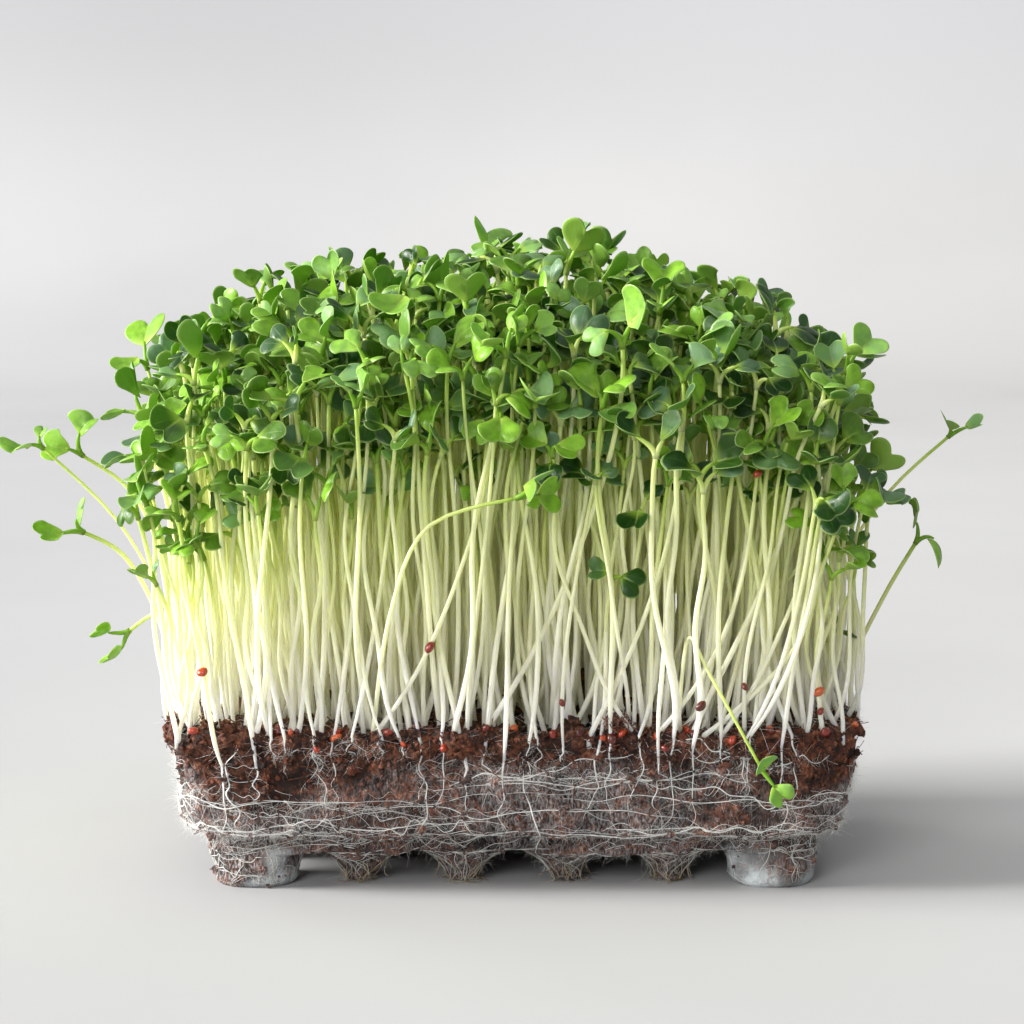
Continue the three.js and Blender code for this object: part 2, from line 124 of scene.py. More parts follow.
class Skin:
    """The points, faces and values of one piece while it is being made."""

    def __init__(self):
        self.points, self.values = [], {}
        self.faces, self.uvs = {3: [], 4: []}, {3: [], 4: []}
        self.count = self.cells = 0

    def add(self, points, faces, uvs=None, cell=None, **values):
        """faces and uvs are lists of arrays, one face a row and one corner a column. cell is the place in
        the piece's sheet of colours, one number for each face, in a list as faces is."""
        points = np.asarray(points, float).reshape(-1, 3)
        for which, f in enumerate(faces):
            k = f.shape[1]
            self.faces[k].append(f + self.count)
            if uvs is not None:
                at = np.broadcast_to(np.asarray(cell[which]).reshape(-1, 1, 1), (len(f), k, 1))
                self.uvs[k].append(join([uvs[which], at], axis=2))
        for name, value in values.items():
            self.values.setdefault(name, []).append(np.broadcast_to(value, (len(points),)))
        self.points.append(points)
        self.count += len(points)

    def build(self, name, material, slot, nodes=(), smooth_faces=True):
        mesh = bpy.data.meshes.new(name)
        points = join(self.points) * MM
        faces = [(k, join(self.faces[k])) for k in (4, 3) if self.faces[k]]
        loops = join([f.ravel() for _, f in faces]).astype(np.int32)
        sizes = join([np.full(len(f), k) for k, f in faces])
        mesh.vertices.add(len(points))
        mesh.vertices.foreach_set("co", points.astype(np.float32).ravel())
        mesh.loops.add(len(loops))
        mesh.loops.foreach_set("vertex_index", loops)
        mesh.polygons.add(len(sizes))
        mesh.polygons.foreach_set("loop_start", (np.cumsum(sizes) - sizes).astype(np.int32))
        mesh.polygons.foreach_set("use_smooth", np.full(len(sizes), smooth_faces))
        for value, arrays in self.values.items():
            layer = mesh.attributes.new(value, "FLOAT", "POINT")
            layer.data.foreach_set("value", join(arrays).astype(np.float32))
        if self.uvs[4] or self.uvs[3]:
            uv = join([join(self.uvs[k]).reshape(-1, 3) for k, _ in faces])
            side = max(1, math.ceil(math.sqrt(uv[:, 2].max() + 1)))
            cell = np.stack([uv[:, 2] % side, uv[:, 2] // side], axis=1)
            sheet = (cell + 0.06 + 0.88 * np.clip(uv[:, :2], 0, 1)) / side
            layer = mesh.uv_layers.new(name="OFBake")
            layer.data.foreach_set("uv", sheet.astype(np.float32).ravel())
        mesh.update(calc_edges=True)
        mesh.materials.append(material)
        piece = bpy.data.objects.new(name, mesh)
        bpy.context.scene.collection.objects.link(piece)
        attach(piece, "root")
        if nodes:
            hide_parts(*nodes)


def copies(faces, count, per):
    """The faces of one form for count copies of it, each with per points."""
    shift = (np.arange(count) * per)[:, None, None]
    return [(f[None] + shift).reshape(-1, f.shape[1]) for f in faces]


def loft(rings, sides):
    """The faces between rings of points, and those that close the ends on two points after the last ring."""
    i, j = np.divmod(np.arange((rings - 1) * sides), sides)
    k = (j + 1) % sides
    walls = np.stack([i * sides + j, i * sides + k, (i + 1) * sides + k, (i + 1) * sides + j], 1)
    side, end = np.arange(sides), rings * sides
    after = (side + 1) % sides
    first = np.stack([np.full(sides, end), after, side], 1)
    last = np.stack([np.full(sides, end + 1), end - sides + side, end - sides + after], 1)
    return [walls, join([first, last])]


def tubes(skin, paths, radii, aside, sides, values, sheet=False):
    """Adds closed tubes. paths is tubes x steps x 3, radii tubes x steps, aside a direction across each tube.
    values are spread over tubes x steps. With sheet, each tube has its own cell in the piece's sheet."""
    count, steps, _ = paths.shape
    along = unit(np.gradient(paths, axis=1))
    aside = np.broadcast_to(aside, paths.shape)
    across = unit(aside - np.sum(aside * along, axis=2, keepdims=True) * along)
    angle = (TAU * np.arange(sides) / sides)[:, None]
    ring = across[:, :, None] * np.cos(angle) + np.cross(along, across)[:, :, None] * np.sin(angle)
    body = paths[:, :, None] + ring * radii[:, :, None, None]
    points = join([body.reshape(count, -1, 3), paths[:, :1], paths[:, -1:]], axis=1)
    faces = copies(loft(steps, sides), count, points.shape[1])
    flat = {}
    for name, value in values.items():
        v = np.broadcast_to(value, (count, steps))
        flat[name] = join([np.repeat(v, sides, axis=1), v[:, :1], v[:, -1:]], axis=1).ravel()
    if not sheet:
        skin.add(points, faces, **flat)
        return
    i, j = np.divmod(np.arange((steps - 1) * sides), sides)
    side = np.arange(sides)
    uv = np.stack([np.stack([(j + a) / sides, (i + b) / (steps - 1)], 1)
                   for a, b in ((0, 0), (1, 0), (1, 1), (0, 1))], axis=1)
    ends = [np.stack([np.stack([(side + a) / sides, np.full(sides, e)], 1) for a in order], axis=1)
            for e, order in ((0.0, (0.5, 1, 0)), (1.0, (0.5, 0, 1)))]
    cells = skin.cells + np.arange(count)
    skin.cells += count
    skin.add(points, faces, [np.tile(uv, (count, 1, 1)), np.tile(join(ends), (count, 1, 1))],
             [np.repeat(cells, len(uv)), np.repeat(cells, 2 * sides)], **flat)


# Materials
class Nodes:
    """A short way to write a material's nodes."""

    def __init__(self, name):
        self.material = bpy.data.materials.new(name)
        self.material.use_nodes = True
        self.tree = self.material.node_tree
        self.tree.nodes.clear()

    def plug(self, socket, value):
        if isinstance(value, bpy.types.NodeSocket):
            self.tree.links.new(value, socket)
        else:
            socket.default_value = value

    def new(self, kind, inputs=None, **settings):
        node = self.tree.nodes.new(kind)
        for key, value in settings.items():
            setattr(node, key, value)
        for key, value in (inputs or {}).items():
            self.plug(node.inputs[key], value)
        return node

    def values(self, *names):
        return [self.new("ShaderNodeAttribute", attribute_name=name).outputs["Fac"] for name in names]

    def math(self, kind, a, b=0.0):
        return self.new("ShaderNodeMath", {0: a, 1: b}, operation=kind).outputs[0]

    def mul(self, a, b):
        return self.math("MULTIPLY", a, b)

    def add(self, a, b):
        return self.math("ADD", a, b)

    def range(self, value, low, high, to_low=0.0, to_high=1.0):
        return self.new("ShaderNodeMapRange", {0: value, 1: low, 2: high, 3: to_low, 4: to_high},
                        interpolation_type="SMOOTHSTEP").outputs[0]

    def place(self):
        return self.new("ShaderNodeTexCoord").outputs["Object"]

    def noise(self, scale, detail=3.0, rough=0.55, stretch=None):
        vector = self.place()
        if stretch:
            vector = self.new("ShaderNodeMapping", {"Vector": vector, "Scale": stretch}).outputs[0]
        return self.new("ShaderNodeTexNoise", {"Vector": vector, "Scale": scale, "Detail": detail,
                                               "Roughness": rough}).outputs["Fac"]

    def mix(self, factor, a, b, blend="MIX"):
        node = self.new("ShaderNodeMix", {0: factor}, data_type="RGBA", blend_type=blend)
        for key, value in ((6, a), (7, b)):
            self.plug(node.inputs[key], (*value, 1.0) if isinstance(value, tuple) else value)
        return node.outputs[2]

    def ramp(self, value, *stops):
        """Colours along a value, each stop as its place and its eight-bit colour."""
        node = self.new("ShaderNodeValToRGB", {0: value})
        marks = node.color_ramp.elements
        while len(marks) < len(stops):
            marks.new(0.5)
        for mark, (place, *colour) in zip(marks, stops):
            mark.position = place
            mark.color = (*rgb(*colour), 1.0)
        return node.outputs[0]

    def bump(self, height, distance, strength):
        return self.new("ShaderNodeBump", {"Height": height, "Distance": distance,
                                           "Strength": strength}).outputs[0]

    def finish(self, colour, rough, through=0.0, glow=None, bent=None, **settings):
        """Ends the material with its shader. A share of light, through, passes with the colour glow."""
        inputs = {"Base Color": colour, "Roughness": rough}
        inputs.update({key.replace("_", " "): value for key, value in settings.items()})
        skin = self.new("ShaderNodeBsdfPrincipled", inputs).outputs[0]
        if through:
            passed = self.new("ShaderNodeBsdfTranslucent", {"Color": glow, **(bent or {})}).outputs[0]
            skin = self.new("ShaderNodeMixShader", {0: through, 1: skin, 2: passed}).outputs[0]
        self.new("ShaderNodeOutputMaterial", {"Surface": skin})
        return self.material


def rgb(r, g, b):
    """An eight-bit display colour as linear light."""
    return tuple(((c / 255 + 0.055) / 1.055) ** 2.4 if c > 10 else c / 255 / 12.92 for c in (r, g, b))


def leaf_material():
    n = Nodes("seed leaf")
    x, y, side, edge, shade, bloom = n.values("leaf_x", "leaf_y", "side", "edge", "shade", "bloom")
    patch = n.noise(420.0)
    # shade runs the blade from dark to light green: partly a random tone for each leaf, partly painted light
    # that makes leaves lighter towards the key lamp on the left
    blade = n.mix(n.range(shade, 0.0, 1.0), rgb(22, 60, 10), rgb(148, 200, 56))
    blade = n.mix(n.range(patch, 0.35, 0.7, 0.0, 0.4), blade, rgb(22, 58, 10))
    dust = n.mul(bloom, n.range(patch, 0.25, 0.7, 0.6, 1.0))
    blade = n.mix(dust, blade, rgb(134, 172, 130))
    under = n.mix(n.range(shade, 0.0, 1.0), rgb(92, 138, 50), rgb(150, 186, 76))
    colour = n.mix(side, under, blade)
    # A midrib that fades towards the notch, and side veins that spread from the base
    wide = n.math("ABSOLUTE", x)
    rib = n.range(n.add(wide, n.mul(y, 0.035)), 0.04, 0.11, 1.0, 0.0)
    rib = n.mul(rib, n.range(y, 0.2, 0.8, 1.0, 0.1))
    turn = n.math("ARCTAN2", wide, n.add(y, 0.16))
    side_vein = n.math("ABSOLUTE", n.math("SINE", n.mul(turn, 7.2)))
    side_vein = n.mul(n.range(side_vein, 0.0, 0.14, 1.0, 0.0), n.range(edge, 0.55, 0.95, 1.0, 0.0))
    vein = n.math("MAXIMUM", rib, n.mul(side_vein, 0.45))
    colour = n.mix(n.mul(vein, 0.65), colour, rgb(160, 186, 92))
    colour = n.mix(n.range(y, 0.0, 0.42, 0.75, 0.0), colour, rgb(172, 204, 76))
    # A pale line along the blade's edge: partly the thin edge's own paler colour, partly painted rim light
    colour = n.mix(n.mul(n.range(edge, 0.93, 1.0), 0.5), colour, rgb(192, 216, 134))
    height = n.add(n.mul(vein, -0.6), n.mul(n.noise(1500.0, 2.0), 0.5))
    normal = n.bump(height, 0.00012, 0.7)
    rough = n.range(n.noise(600.0, 2.0), 0.3, 0.7, 0.3, 0.46)
    glow = n.mix(0.6, colour, rgb(150, 206, 34))
    return n.finish(colour, rough, 0.34, glow, {"Normal": normal}, Normal=normal, Specular_IOR_Level=0.4,
                    Sheen_Weight=0.03, Sheen_Roughness=0.4, Sheen_Tint=(0.75, 0.9, 0.95, 1.0))


def stem_material():
    n = Nodes("stem")
    along, shade = n.values("along", "shade")
    streak = n.noise(900.0, 2.0, stretch=(1.0, 1.0, 0.12))
    level = n.add(along, n.mul(n.add(shade, -0.5), 0.3))
    level = n.add(level, n.mul(n.add(streak, -0.5), 0.12))
    colour = n.ramp(level, (0.0, 252, 251, 248), (0.13, 251, 250, 242), (0.3, 249, 249, 226),
                    (0.58, 244, 247, 198), (0.72, 230, 239, 162), (0.84, 186, 212, 96), (1.0, 134, 180, 52))
    normal = n.bump(streak, 0.0001, 0.5)
    return n.finish(colour, 0.42, 0.42, colour, {"Normal": normal}, Normal=normal, Specular_IOR_Level=0.45,
                    Subsurface_Weight=0.35, Subsurface_Scale=0.0011, Subsurface_Radius=(1.0, 0.9, 0.4))


def soil_material():
    n = Nodes("soil")
    film, bit, deep, veil = n.values("film", "bit", "deep", "veil")
    lump = n.noise(160.0, 4.0)
    grain = n.noise(900.0, 4.0, 0.65)
    level = n.add(n.mul(lump, 0.4), n.mul(grain, 0.6))
    colour = n.ramp(level, (0.37, 20, 11, 8), (0.47, 56, 32, 22), (0.56, 108, 63, 43), (0.67, 172, 112, 78))
    colour = n.mix(n.range(bit, 0.4, 1.0, 0.0, 0.65), colour, rgb(126, 68, 44))
    # Painted shade: where deep is high, in the hollows between the lumps of the relief, the soil is darkened
    # almost to black
    colour = n.mix(n.range(deep, 0.35, 0.85, 0.0, 0.8), colour, rgb(16, 9, 7))
    # Fine hairs too small to model lie over the soil as a haze, and a smooth skin of root covers the feet
    fuzz = n.noise(1700.0, stretch=(1.3, 1.3, 0.5))
    haze = n.mul(n.range(fuzz, 0.36, 0.7), film)
    haze = n.mul(haze, n.range(lump, 0.3, 0.6, 0.5, 1.0))
    colour = n.mix(n.mul(haze, 0.66), colour, rgb(208, 207, 208))
    cloth = n.noise(260.0, stretch=(1.0, 1.0, 0.6))
    cover = n.mul(veil, n.range(cloth, 0.3, 0.6, 0.45, 1.0))
    colour = n.mix(n.mul(cover, 0.9), colour, rgb(200, 208, 210))
    height = n.mul(n.add(grain, n.mul(haze, 0.4)), n.range(cover, 0.0, 1.0, 1.0, 0.25))
    rough = n.range(n.add(grain, n.mul(cover, -0.5)), 0.0, 0.7, 0.4, 0.92)
    return n.finish(colour, rough, Normal=n.bump(height, 0.0013, 1.0), Specular_IOR_Level=0.4)


def root_material():
    n = Nodes("root")
    tone, shade = n.values("tone", "shade")
    patch = n.noise(700.0)
    colour = n.ramp(tone, (0.0, 251, 250, 247), (0.4, 226, 224, 214), (0.7, 196, 170, 116),
                    (1.0, 140, 98, 56))
    colour = n.mix(n.range(patch, 0.5, 0.85, 0.0, 0.15), colour, rgb(196, 180, 160))
    colour = n.mix(n.range(shade, 0.5, 1.0, 0.0, 0.25), colour, rgb(206, 212, 208))
    return n.finish(colour, 0.55, 0.25, colour, Normal=n.bump(patch, 0.00012, 0.6), Specular_IOR_Level=0.45,
                    Subsurface_Weight=0.25, Subsurface_Scale=0.0006, Subsurface_Radius=(1.0, 0.9, 0.8))


def seed_material():
    n = Nodes("seed hull")
    shade, = n.values("shade")
    mottle = n.noise(1100.0)
    colour = n.ramp(shade, (0.0, 70, 20, 14), (0.35, 118, 32, 18), (0.75, 166, 54, 24), (1.0, 196, 92, 40))
    colour = n.mix(n.range(mottle, 0.5, 0.75, 0.0, 0.45), colour, rgb(96, 30, 18))
    return n.finish(colour, 0.3, Coat_Weight=0.35, Coat_Roughness=0.2, Normal=n.bump(mottle, 0.0001, 0.5))


LEAF, STEM, SOIL = leaf_material(), stem_material(), soil_material()
ROOT, SEED = root_material(), seed_material()

# The rim's straight sides, anticlockwise from the right one, with a round corner after each
CORNER = (HALF[0] - CORNER_RADIUS, HALF[1] - CORNER_RADIUS)
ARC = CORNER_RADIUS * math.pi / 2
SIDES = np.array([2 * CORNER[1], 2 * CORNER[0]] * 2)
SIDE_STARTS = np.cumsum([0.0, *(SIDES + ARC)])
RIM_LENGTH = SIDE_STARTS[-1]
CORNER_SIGNS = np.array([(1, 1), (-1, 1), (-1, -1), (1, -1)])
# The wall from the rim down, as inset and height: the drafted face, the ledge, the low face and its foot
WALL = np.array([(0.0, 36.0), (0.4, 33.0), (3.0, 13.6), (3.9, 12.4), (7.6, 11.6), (9.0, 10.4), (9.4, 8.0)])
WALL_STEPS = join([[0.0], np.cumsum(np.hypot(*np.diff(WALL, axis=0).T))])
WALL_DROP = WALL_STEPS[-1]


def on_wall(s, t):
    """Points on the wall, at share s of the way round from the right side's middle and t below the rim."""
    inset, z = (np.interp(t, WALL_STEPS, WALL[:, k]) for k in (0, 1))
    d = (s * RIM_LENGTH + CORNER[1]) % RIM_LENGTH
    side = np.searchsorted(SIDE_STARTS, d, "right") - 1
    past = d - SIDE_STARTS[side] - SIDES[side]
    a = side * math.pi / 2 + np.maximum(past, 0) / CORNER_RADIUS
    out = np.stack([np.cos(a), np.sin(a)], 1)
    along = np.stack([-np.sin(a), np.cos(a)], 1) * np.minimum(past, 0)[:, None]
    return np.column_stack([CORNER_SIGNS[side] * CORNER + along + out * (CORNER_RADIUS - inset)[:, None], z])


def share_round(way, place):
    """The share of the way round of places on the rim's straight sides, which face along way."""
    back = CORNER[1] + ARC
    left = back + 2 * CORNER[0] + ARC
    front = left + 2 * CORNER[1] + ARC
    d = np.select([way[:, 1] > 0, way[:, 0] < 0, way[:, 1] < 0],
                  [back + CORNER[0] - place[:, 0], left + CORNER[1] - place[:, 1],
                   front + CORNER[0] + place[:, 0]], place[:, 1])
    return d / RIM_LENGTH


# Forms under the relief: the wall and the feet as inset and height, the nubs as radius and height
WALL_FORM = ((4.2, 12.6), (3.2, 13.4), (0.5, 33.0), (0.2, 35.0), (1.2, 36.0))
FOOT_FORM = ((2.2, 0.0), (1.3, 1.0), (0.2, 6.0), (0.0, 10.0))
FOOT_CORNER = 9.2
NUB_FORM = ((3.1, 1.0), (4.0, 2.6), (5.2, 4.4), (7.4, 6.4), (10.6, 8.2))
VOXEL = 0.6


def rounded(length, width, radius, z, arc=8):
    a = (np.arange(4)[:, None] + np.linspace(0, 1, arc)[None]).ravel() * math.pi / 2
    sx = np.repeat([1, -1, -1, 1], arc) * (length / 2 - radius)
    sy = np.repeat([1, 1, -1, -1], arc) * (width / 2 - radius)
    return np.stack([sx + radius * np.cos(a), sy + radius * np.sin(a), np.full(4 * arc, z)], axis=1)


def closed_loft(skin, rings):
    points = join([*rings, [rings[0].mean(0)], [rings[-1].mean(0)]])
    skin.add(points, loft(len(rings), len(rings[0])))


def stands():
    """The places of the feet and the nubs under the block, and whether each is a corner foot."""
    for i, j in itertools.product(range(NUBS[0] + 2), range(NUBS[1] + 2)):
        u, v = 2 * i / (NUBS[0] + 1) - 1, 2 * j / (NUBS[1] + 1) - 1
        yield np.array([u * FOOT_CENTRE[0], v * FOOT_CENTRE[1], 0.0]), abs(u) > 0.99 and abs(v) > 0.99


def block_form():
    form = Skin()
    wall = [rounded(BLOCK_LENGTH - 2 * i - 1, BLOCK_WIDTH - 2 * i - 1, CORNER_RADIUS - min(i, 2), z)
            for i, z in WALL_FORM]
    closed_loft(form, wall)
    low = CORNER_RADIUS - LEDGE_INSET - 2
    closed_loft(form, [rounded(BASE_LENGTH, BASE_WIDTH, low, z) for z in (UNDERSIDE, 15)])
    for here, corner in stands():
        if corner:
            rings = [rounded(FOOT[0] - 2 * g, FOOT[1] - 2 * g, FOOT_CORNER - g, z, 6) for g, z in FOOT_FORM]
        else:
            rings = [rounded(2 * r, 2 * r, r * 0.999, z, 6) for r, z in ((2.4, 0.4), *NUB_FORM, (10.8, 10.0))]
        closed_loft(form, [ring + here for ring in rings])
    return form


def remeshed(form):
    """A form made into one skin of four-sided faces: its points, their directions and its faces."""
    mesh = bpy.data.meshes.new("form")
    faces = [f for k in (4, 3) for group in form.faces[k] for f in group.tolist()]
    mesh.from_pydata((join(form.points) * MM).tolist(), [], faces)
    holder = bpy.data.objects.new("form", mesh)
    bpy.context.scene.collection.objects.link(holder)
    change = holder.modifiers.new("remesh", "REMESH")
    change.mode = "VOXEL"
    change.voxel_size = VOXEL * MM
    whole = bpy.data.meshes.new_from_object(holder.evaluated_get(bpy.context.evaluated_depsgraph_get()))
    co, normal = (np.empty(len(whole.vertices) * 3, np.float32) for _ in range(2))
    whole.vertices.foreach_get("co", co)
    whole.vertices.foreach_get("normal", normal)
    corners = np.empty(len(whole.loops), np.int32)
    whole.loops.foreach_get("vertex_index", corners)
    bpy.data.objects.remove(holder)
    for made in (mesh, whole):
        bpy.data.meshes.remove(made)
    return co.reshape(-1, 3).astype(float) / MM, normal.reshape(-1, 3).astype(float), corners.reshape(-1, 4)


def veil_at(p):
    """How far a smooth pale skin of root covers the feet."""
    x, y = np.abs(p[:, 0]), np.abs(p[:, 1])
    across, deep = FOOT_CENTRE
    ends = smooth(across - 13, across - 9, x) * smooth(deep - 12, deep - 8, y)
    inner = smooth(across + 4, across - 4, x)
    low = smooth(6, 1, p[:, 2])
    patchy = 0.6 * noise(p, 6.5, 12) + 0.55 * inner + 0.4 * low + 0.12 * np.sign(p[:, 0]) - 0.15
    return ends * np.where(p[:, 1] > 0, 0.8, 1.0) * smooth(0.05, 0.6, patchy) * smooth(11.0, 7.5, p[:, 2])


# Patches of bare soil on the front: place across, half width and how far down they reach
BARE = ((-56.0, 9.0, 12.0), (-38.0, 7.0, 5.0), (2.0, 8.0, 2.5), (64.0, 7.0, 5.0))


def film_at(p):
    """How thickly fine root hairs veil the soil at a point."""
    low = smooth(11, 5, p[:, 2])
    patchy = smooth(-0.4, 0.35, noise(p, 15.0, 6))
    line = 30.5 + 3 * noise(p * (1, 1, 0), 21.0, 14)
    for at, half, depth in BARE:
        line = line - (p[:, 1] < -40) * depth * smooth(half + 5, half - 3, np.abs(p[:, 0] - at))
    wall = smooth(0, 5, line - p[:, 2]) * (1 - 0.3 * smooth(12.5, 10, p[:, 2]))
    corner = smooth(56, 76, np.abs(p[:, 0])) * 0.35
    return np.clip(wall * (0.25 + 0.65 * patchy + corner) + 0.3 * low, 0, 1)


# The soil's relief: lumps on the walls, larger ones towards the top, less under the veil and at the floor
soil_points, soil_normals, soil_faces = remeshed(block_form())
steady = smooth(0.0, 3.0, soil_points[:, 2]) * (1 - 0.75 * veil_at(soil_points))
lumps = (0.6 * noise(soil_points, 9.0, 1) + 0.7 * noise(soil_points, 3.6, 2)
         + 0.9 * np.abs(noise(soil_points, 2.1, 3)) - 0.35 + 0.5 * noise(soil_points, 1.2, 7))
lumps += smooth(25, 33, soil_points[:, 2]) * (1.2 * noise(soil_points, 6.0, 4)
                                              + 1.1 * noise(soil_points, 2.6, 5))
soil_points += soil_normals * (steady * (lumps - 0.35))[:, None]
soil_points[:, 2] = np.maximum(soil_points[:, 2], 0.0)
soil = Skin()
# deep marks the hollows between the lumps, which the soil's material darkens as painted shade
soil.add(soil_points, [soil_faces], film=film_at(soil_points), bit=0.0, veil=veil_at(soil_points),
         deep=np.clip(0.45 - 0.42 * lumps, 0, 1))
soil.build("soil_block_relief", SOIL, "soil", ["soil_block"])
ground = BVHTree.FromPolygons([Vector(p) for p in soil_points], soil_faces.tolist())


def drop_on(p):
    """The nearest points on the soil and the soil's directions there."""
    at, way = np.empty_like(p), np.empty_like(p)
    for i, q in enumerate(p):
        at[i], way[i], _, _ = ground.find_nearest(Vector(q))
    return at, way


def ball(divide):
    made = bmesh.new()
    bmesh.ops.create_icosphere(made, subdivisions=divide, radius=1.0)
    p = np.array([v.co[:] for v in made.verts])
    f = np.array([[v.index for v in g.verts] for g in made.faces])
    made.free()
    return p, f


def turned(*shape):
    """Random square axes, as rows."""
    first = unit(rng.normal(size=(*shape, 3)))
    second = unit(np.cross(first, rng.normal(size=(*shape, 3))))
    return np.stack([first, second, np.cross(first, second)], axis=-2)


def spread(count, weigh):
    """Random places over the soil by area, weighed by a function of place and direction, and directions."""
    a, b, c = (soil_points[soil_faces[:, i]] for i in (0, 1, 2))
    cross = np.cross(b - a, c - a)
    way = unit(cross)
    weight = np.linalg.norm(cross, axis=1) * weigh(soil_points[soil_faces].mean(1), way)
    pick = rng.choice(len(soil_faces), count, p=weight / weight.sum())
    corner = rng.dirichlet((1, 1, 1, 1), count)
    return (soil_points[soil_faces[pick]] * corner[:, :, None]).sum(1), way[pick]


def edge_share(p):
    """How far out from the block's middle a place is, as a share of the way to the rim."""
    return np.maximum(np.abs(p[:, 0]) / HALF[0], np.abs(p[:, 1]) / HALF[1])


def on_walls(p, way):
    return smooth(10, 14, p[:, 2]) * (0.35 + 0.65 * (way[:, 2] > -0.3)) + 0.15


def on_rim(p, way):
    return smooth(20, 30, p[:, 2]) * (1.15 - film_at(p)) * (0.06 + smooth(0.84, 0.95, edge_share(p)))


def on_top_edge(p, way):
    return smooth(33, 35, p[:, 2]) * (way[:, 2] > 0.2) * smooth(0.86, 0.97, edge_share(p))


def crumbs(skin, count, low, high, divide, weigh, bits):
    """Crumbs are small faceted balls, pressed out of shape and set into the soil."""
    shape, tris = ball(divide)
    place, way = spread(count, weigh)
    size = (low + (high - low) * rng.random(count) ** 2.2)[:, None]
    stretch = rng.uniform(0.6, 1.25, (count, 1, 3))
    axes = turned(count)
    rough = 1 + 0.34 * rng.normal(size=(count, len(shape), 1)).clip(-1.3, 1.6)
    body = np.einsum("kij,kvi->kvj", axes, shape[None] * stretch * rough) * size[:, None]
    body += (place + way * size * 0.25)[:, None]
    body[:, :, 2] = np.maximum(body[:, :, 2], 0.05)
    skin.add(body, copies([tris], count, len(shape)), film=np.repeat(film_at(place) * 0.6, len(shape)),
             bit=np.repeat(rng.random(count) ** bits, len(shape)), veil=0.0, deep=0.0)


COIR_STEPS = 7


def coir(skin, path, radius, aside, film, bits):
    count = len(path)
    radii = np.repeat(rng.uniform(*radius, (count, 1)), COIR_STEPS, 1)
    tubes(skin, path, radii, aside, 4,
          {"film": film, "veil": 0.0, "deep": 0.0, "bit": rng.uniform(bits, 1.0, (count, 1))})


def fibres(skin, count, weigh):
    """Coir fibres lie on the soil in short bent lengths."""
    place, way = spread(count, weigh)
    aside = unit(np.cross(way, rng.normal(size=(count, 3))))
    length = rng.uniform(2.5, 9.0, (count, 1))
    bend = rng.normal(0, 0.25, (count, 1))
    u = np.linspace(-0.5, 0.5, COIR_STEPS)[None]
    rise = 0.35 + 2.4 * rng.random((count, 1)) * u ** 2
    path = (place[:, None] + aside[:, None] * (u * length)[:, :, None] + way[:, None] * rise[:, :, None]
            + np.cross(way, aside)[:, None] * (2 * u ** 2 * bend * length)[:, :, None])
    path[:, :, 2] = np.maximum(path[:, :, 2], 0.15)
    coir(skin, path, (0.06, 0.14), way[:, None], 0.0, 0.3)


def coir_knot(skin, place, size, count):
    way = unit(rng.normal(size=(count, 3)))
    aside = unit(np.cross(way, rng.normal(size=(count, 3))))
    u = np.linspace(-1, 1, COIR_STEPS)[None, :, None]
    centre = place + rng.normal(0, 0.33, (count, 3)) * size
    path = centre[:, None] + aside[:, None] * u * size * 0.5 + way[:, None] * (1 - u ** 2) * size * 0.3
    coir(skin, path, (0.1, 0.2), unit(np.cross(way, aside))[:, None], 0.25, 0.7)


# A knot of coir lies on the front edge among the stems
KNOT_PLACE, KNOT_RISE, KNOT_SIZE, KNOT_FIBRES = (22.0, -50.5, 37.0), (0, 0, 1.6), 3.0, 110
wall_bits, rim_bits = Skin(), Skin()
# Crumbs by number, least and greatest size, divisions of their ball, where they lie and how few are reddish
crumbs(wall_bits, 420, 0.5, 1.2, 2, on_walls, 3.0)
crumbs(wall_bits, 2200, 0.25, 0.7, 1, on_walls, 2.2)
crumbs(rim_bits, 1000, 0.4, 1.3, 2, on_rim, 2.0)
crumbs(rim_bits, 4400, 0.2, 0.65, 1, on_rim, 1.6)
fibres(wall_bits, 300, on_walls)
fibres(rim_bits, 320, on_rim)
coir_knot(rim_bits, drop_on(np.array([KNOT_PLACE]))[0] + KNOT_RISE, KNOT_SIZE, KNOT_FIBRES)
wall_bits.build("soil_crumbs_on_walls", SOIL, "soil", smooth_faces=False)
rim_bits.build("soil_crumbs_on_rim", SOIL, "soil", smooth_faces=False)

# Seedlings that root in the top of the wall: the outward direction of each side and their number
SPILT = (((0.0, -1.0), 28), ((0.0, 1.0), 22), ((-1.0, 0.0), 12), ((1.0, 0.0), 12))
SPILT_DEEPEST, CORNER_KEPT_CLEAR = 9.0, 13


def spilt_places():
    """Outward directions, places at the rim and depths below it."""
    rows = []
    for way, count in SPILT:
        axis = int(way[0] != 0)
        place = np.empty((count, 2))
        steps = 2 * (np.arange(count) + rng.uniform(0, 1, count)) / count - 1
        place[:, axis] = (HALF[axis] - CORNER_KEPT_CLEAR) * steps
        place[:, 1 - axis] = way[1 - axis] * HALF[1 - axis]
        depth = rng.uniform(0, 1, count) ** 2.2 * SPILT_DEEPEST
        rows.append(np.column_stack([np.repeat([way], count, 0), place, depth]))
    rows = join(rows)
    return rows[:, :2], rows[:, 2:4], rows[:, 4]


SPILT_WAY, SPILT_PLACE, SPILT_DEPTH = spilt_places()

# Roots: the share of its radius that a strand keeps at its ends, and the steps of a tap root
ENDS_KEPT, TAP_STEPS = 0.35, 24
roots = Skin()


def lay(s, t, radius, tone, lift, always=0.3):
    """Lays strands on the soil, whose ways round s and down t are strands x steps. Of those over bare soil
    only the share always is kept. Returns the paths, and the soil's directions along them."""
    count, steps = s.shape
    at, way = drop_on(on_wall(s.ravel(), np.clip(t.ravel(), 0.2, WALL_DROP - 0.1)))
    way = way.reshape(count, steps, 3)
    path = at.reshape(count, steps, 3) + way * (radius * 0.7 + lift)[:, :, None]
    veiled = np.quantile(film_at(at).reshape(count, steps), 0.3, axis=1) > 0.15
    keep = veiled | (rng.random(count) < always)
    path, way = eased(path[keep], 2), way[keep]
    tubes(roots, path, radius[keep], way, 4, {"tone": tone, "shade": rng.random((len(path), 1))})
    return path, way


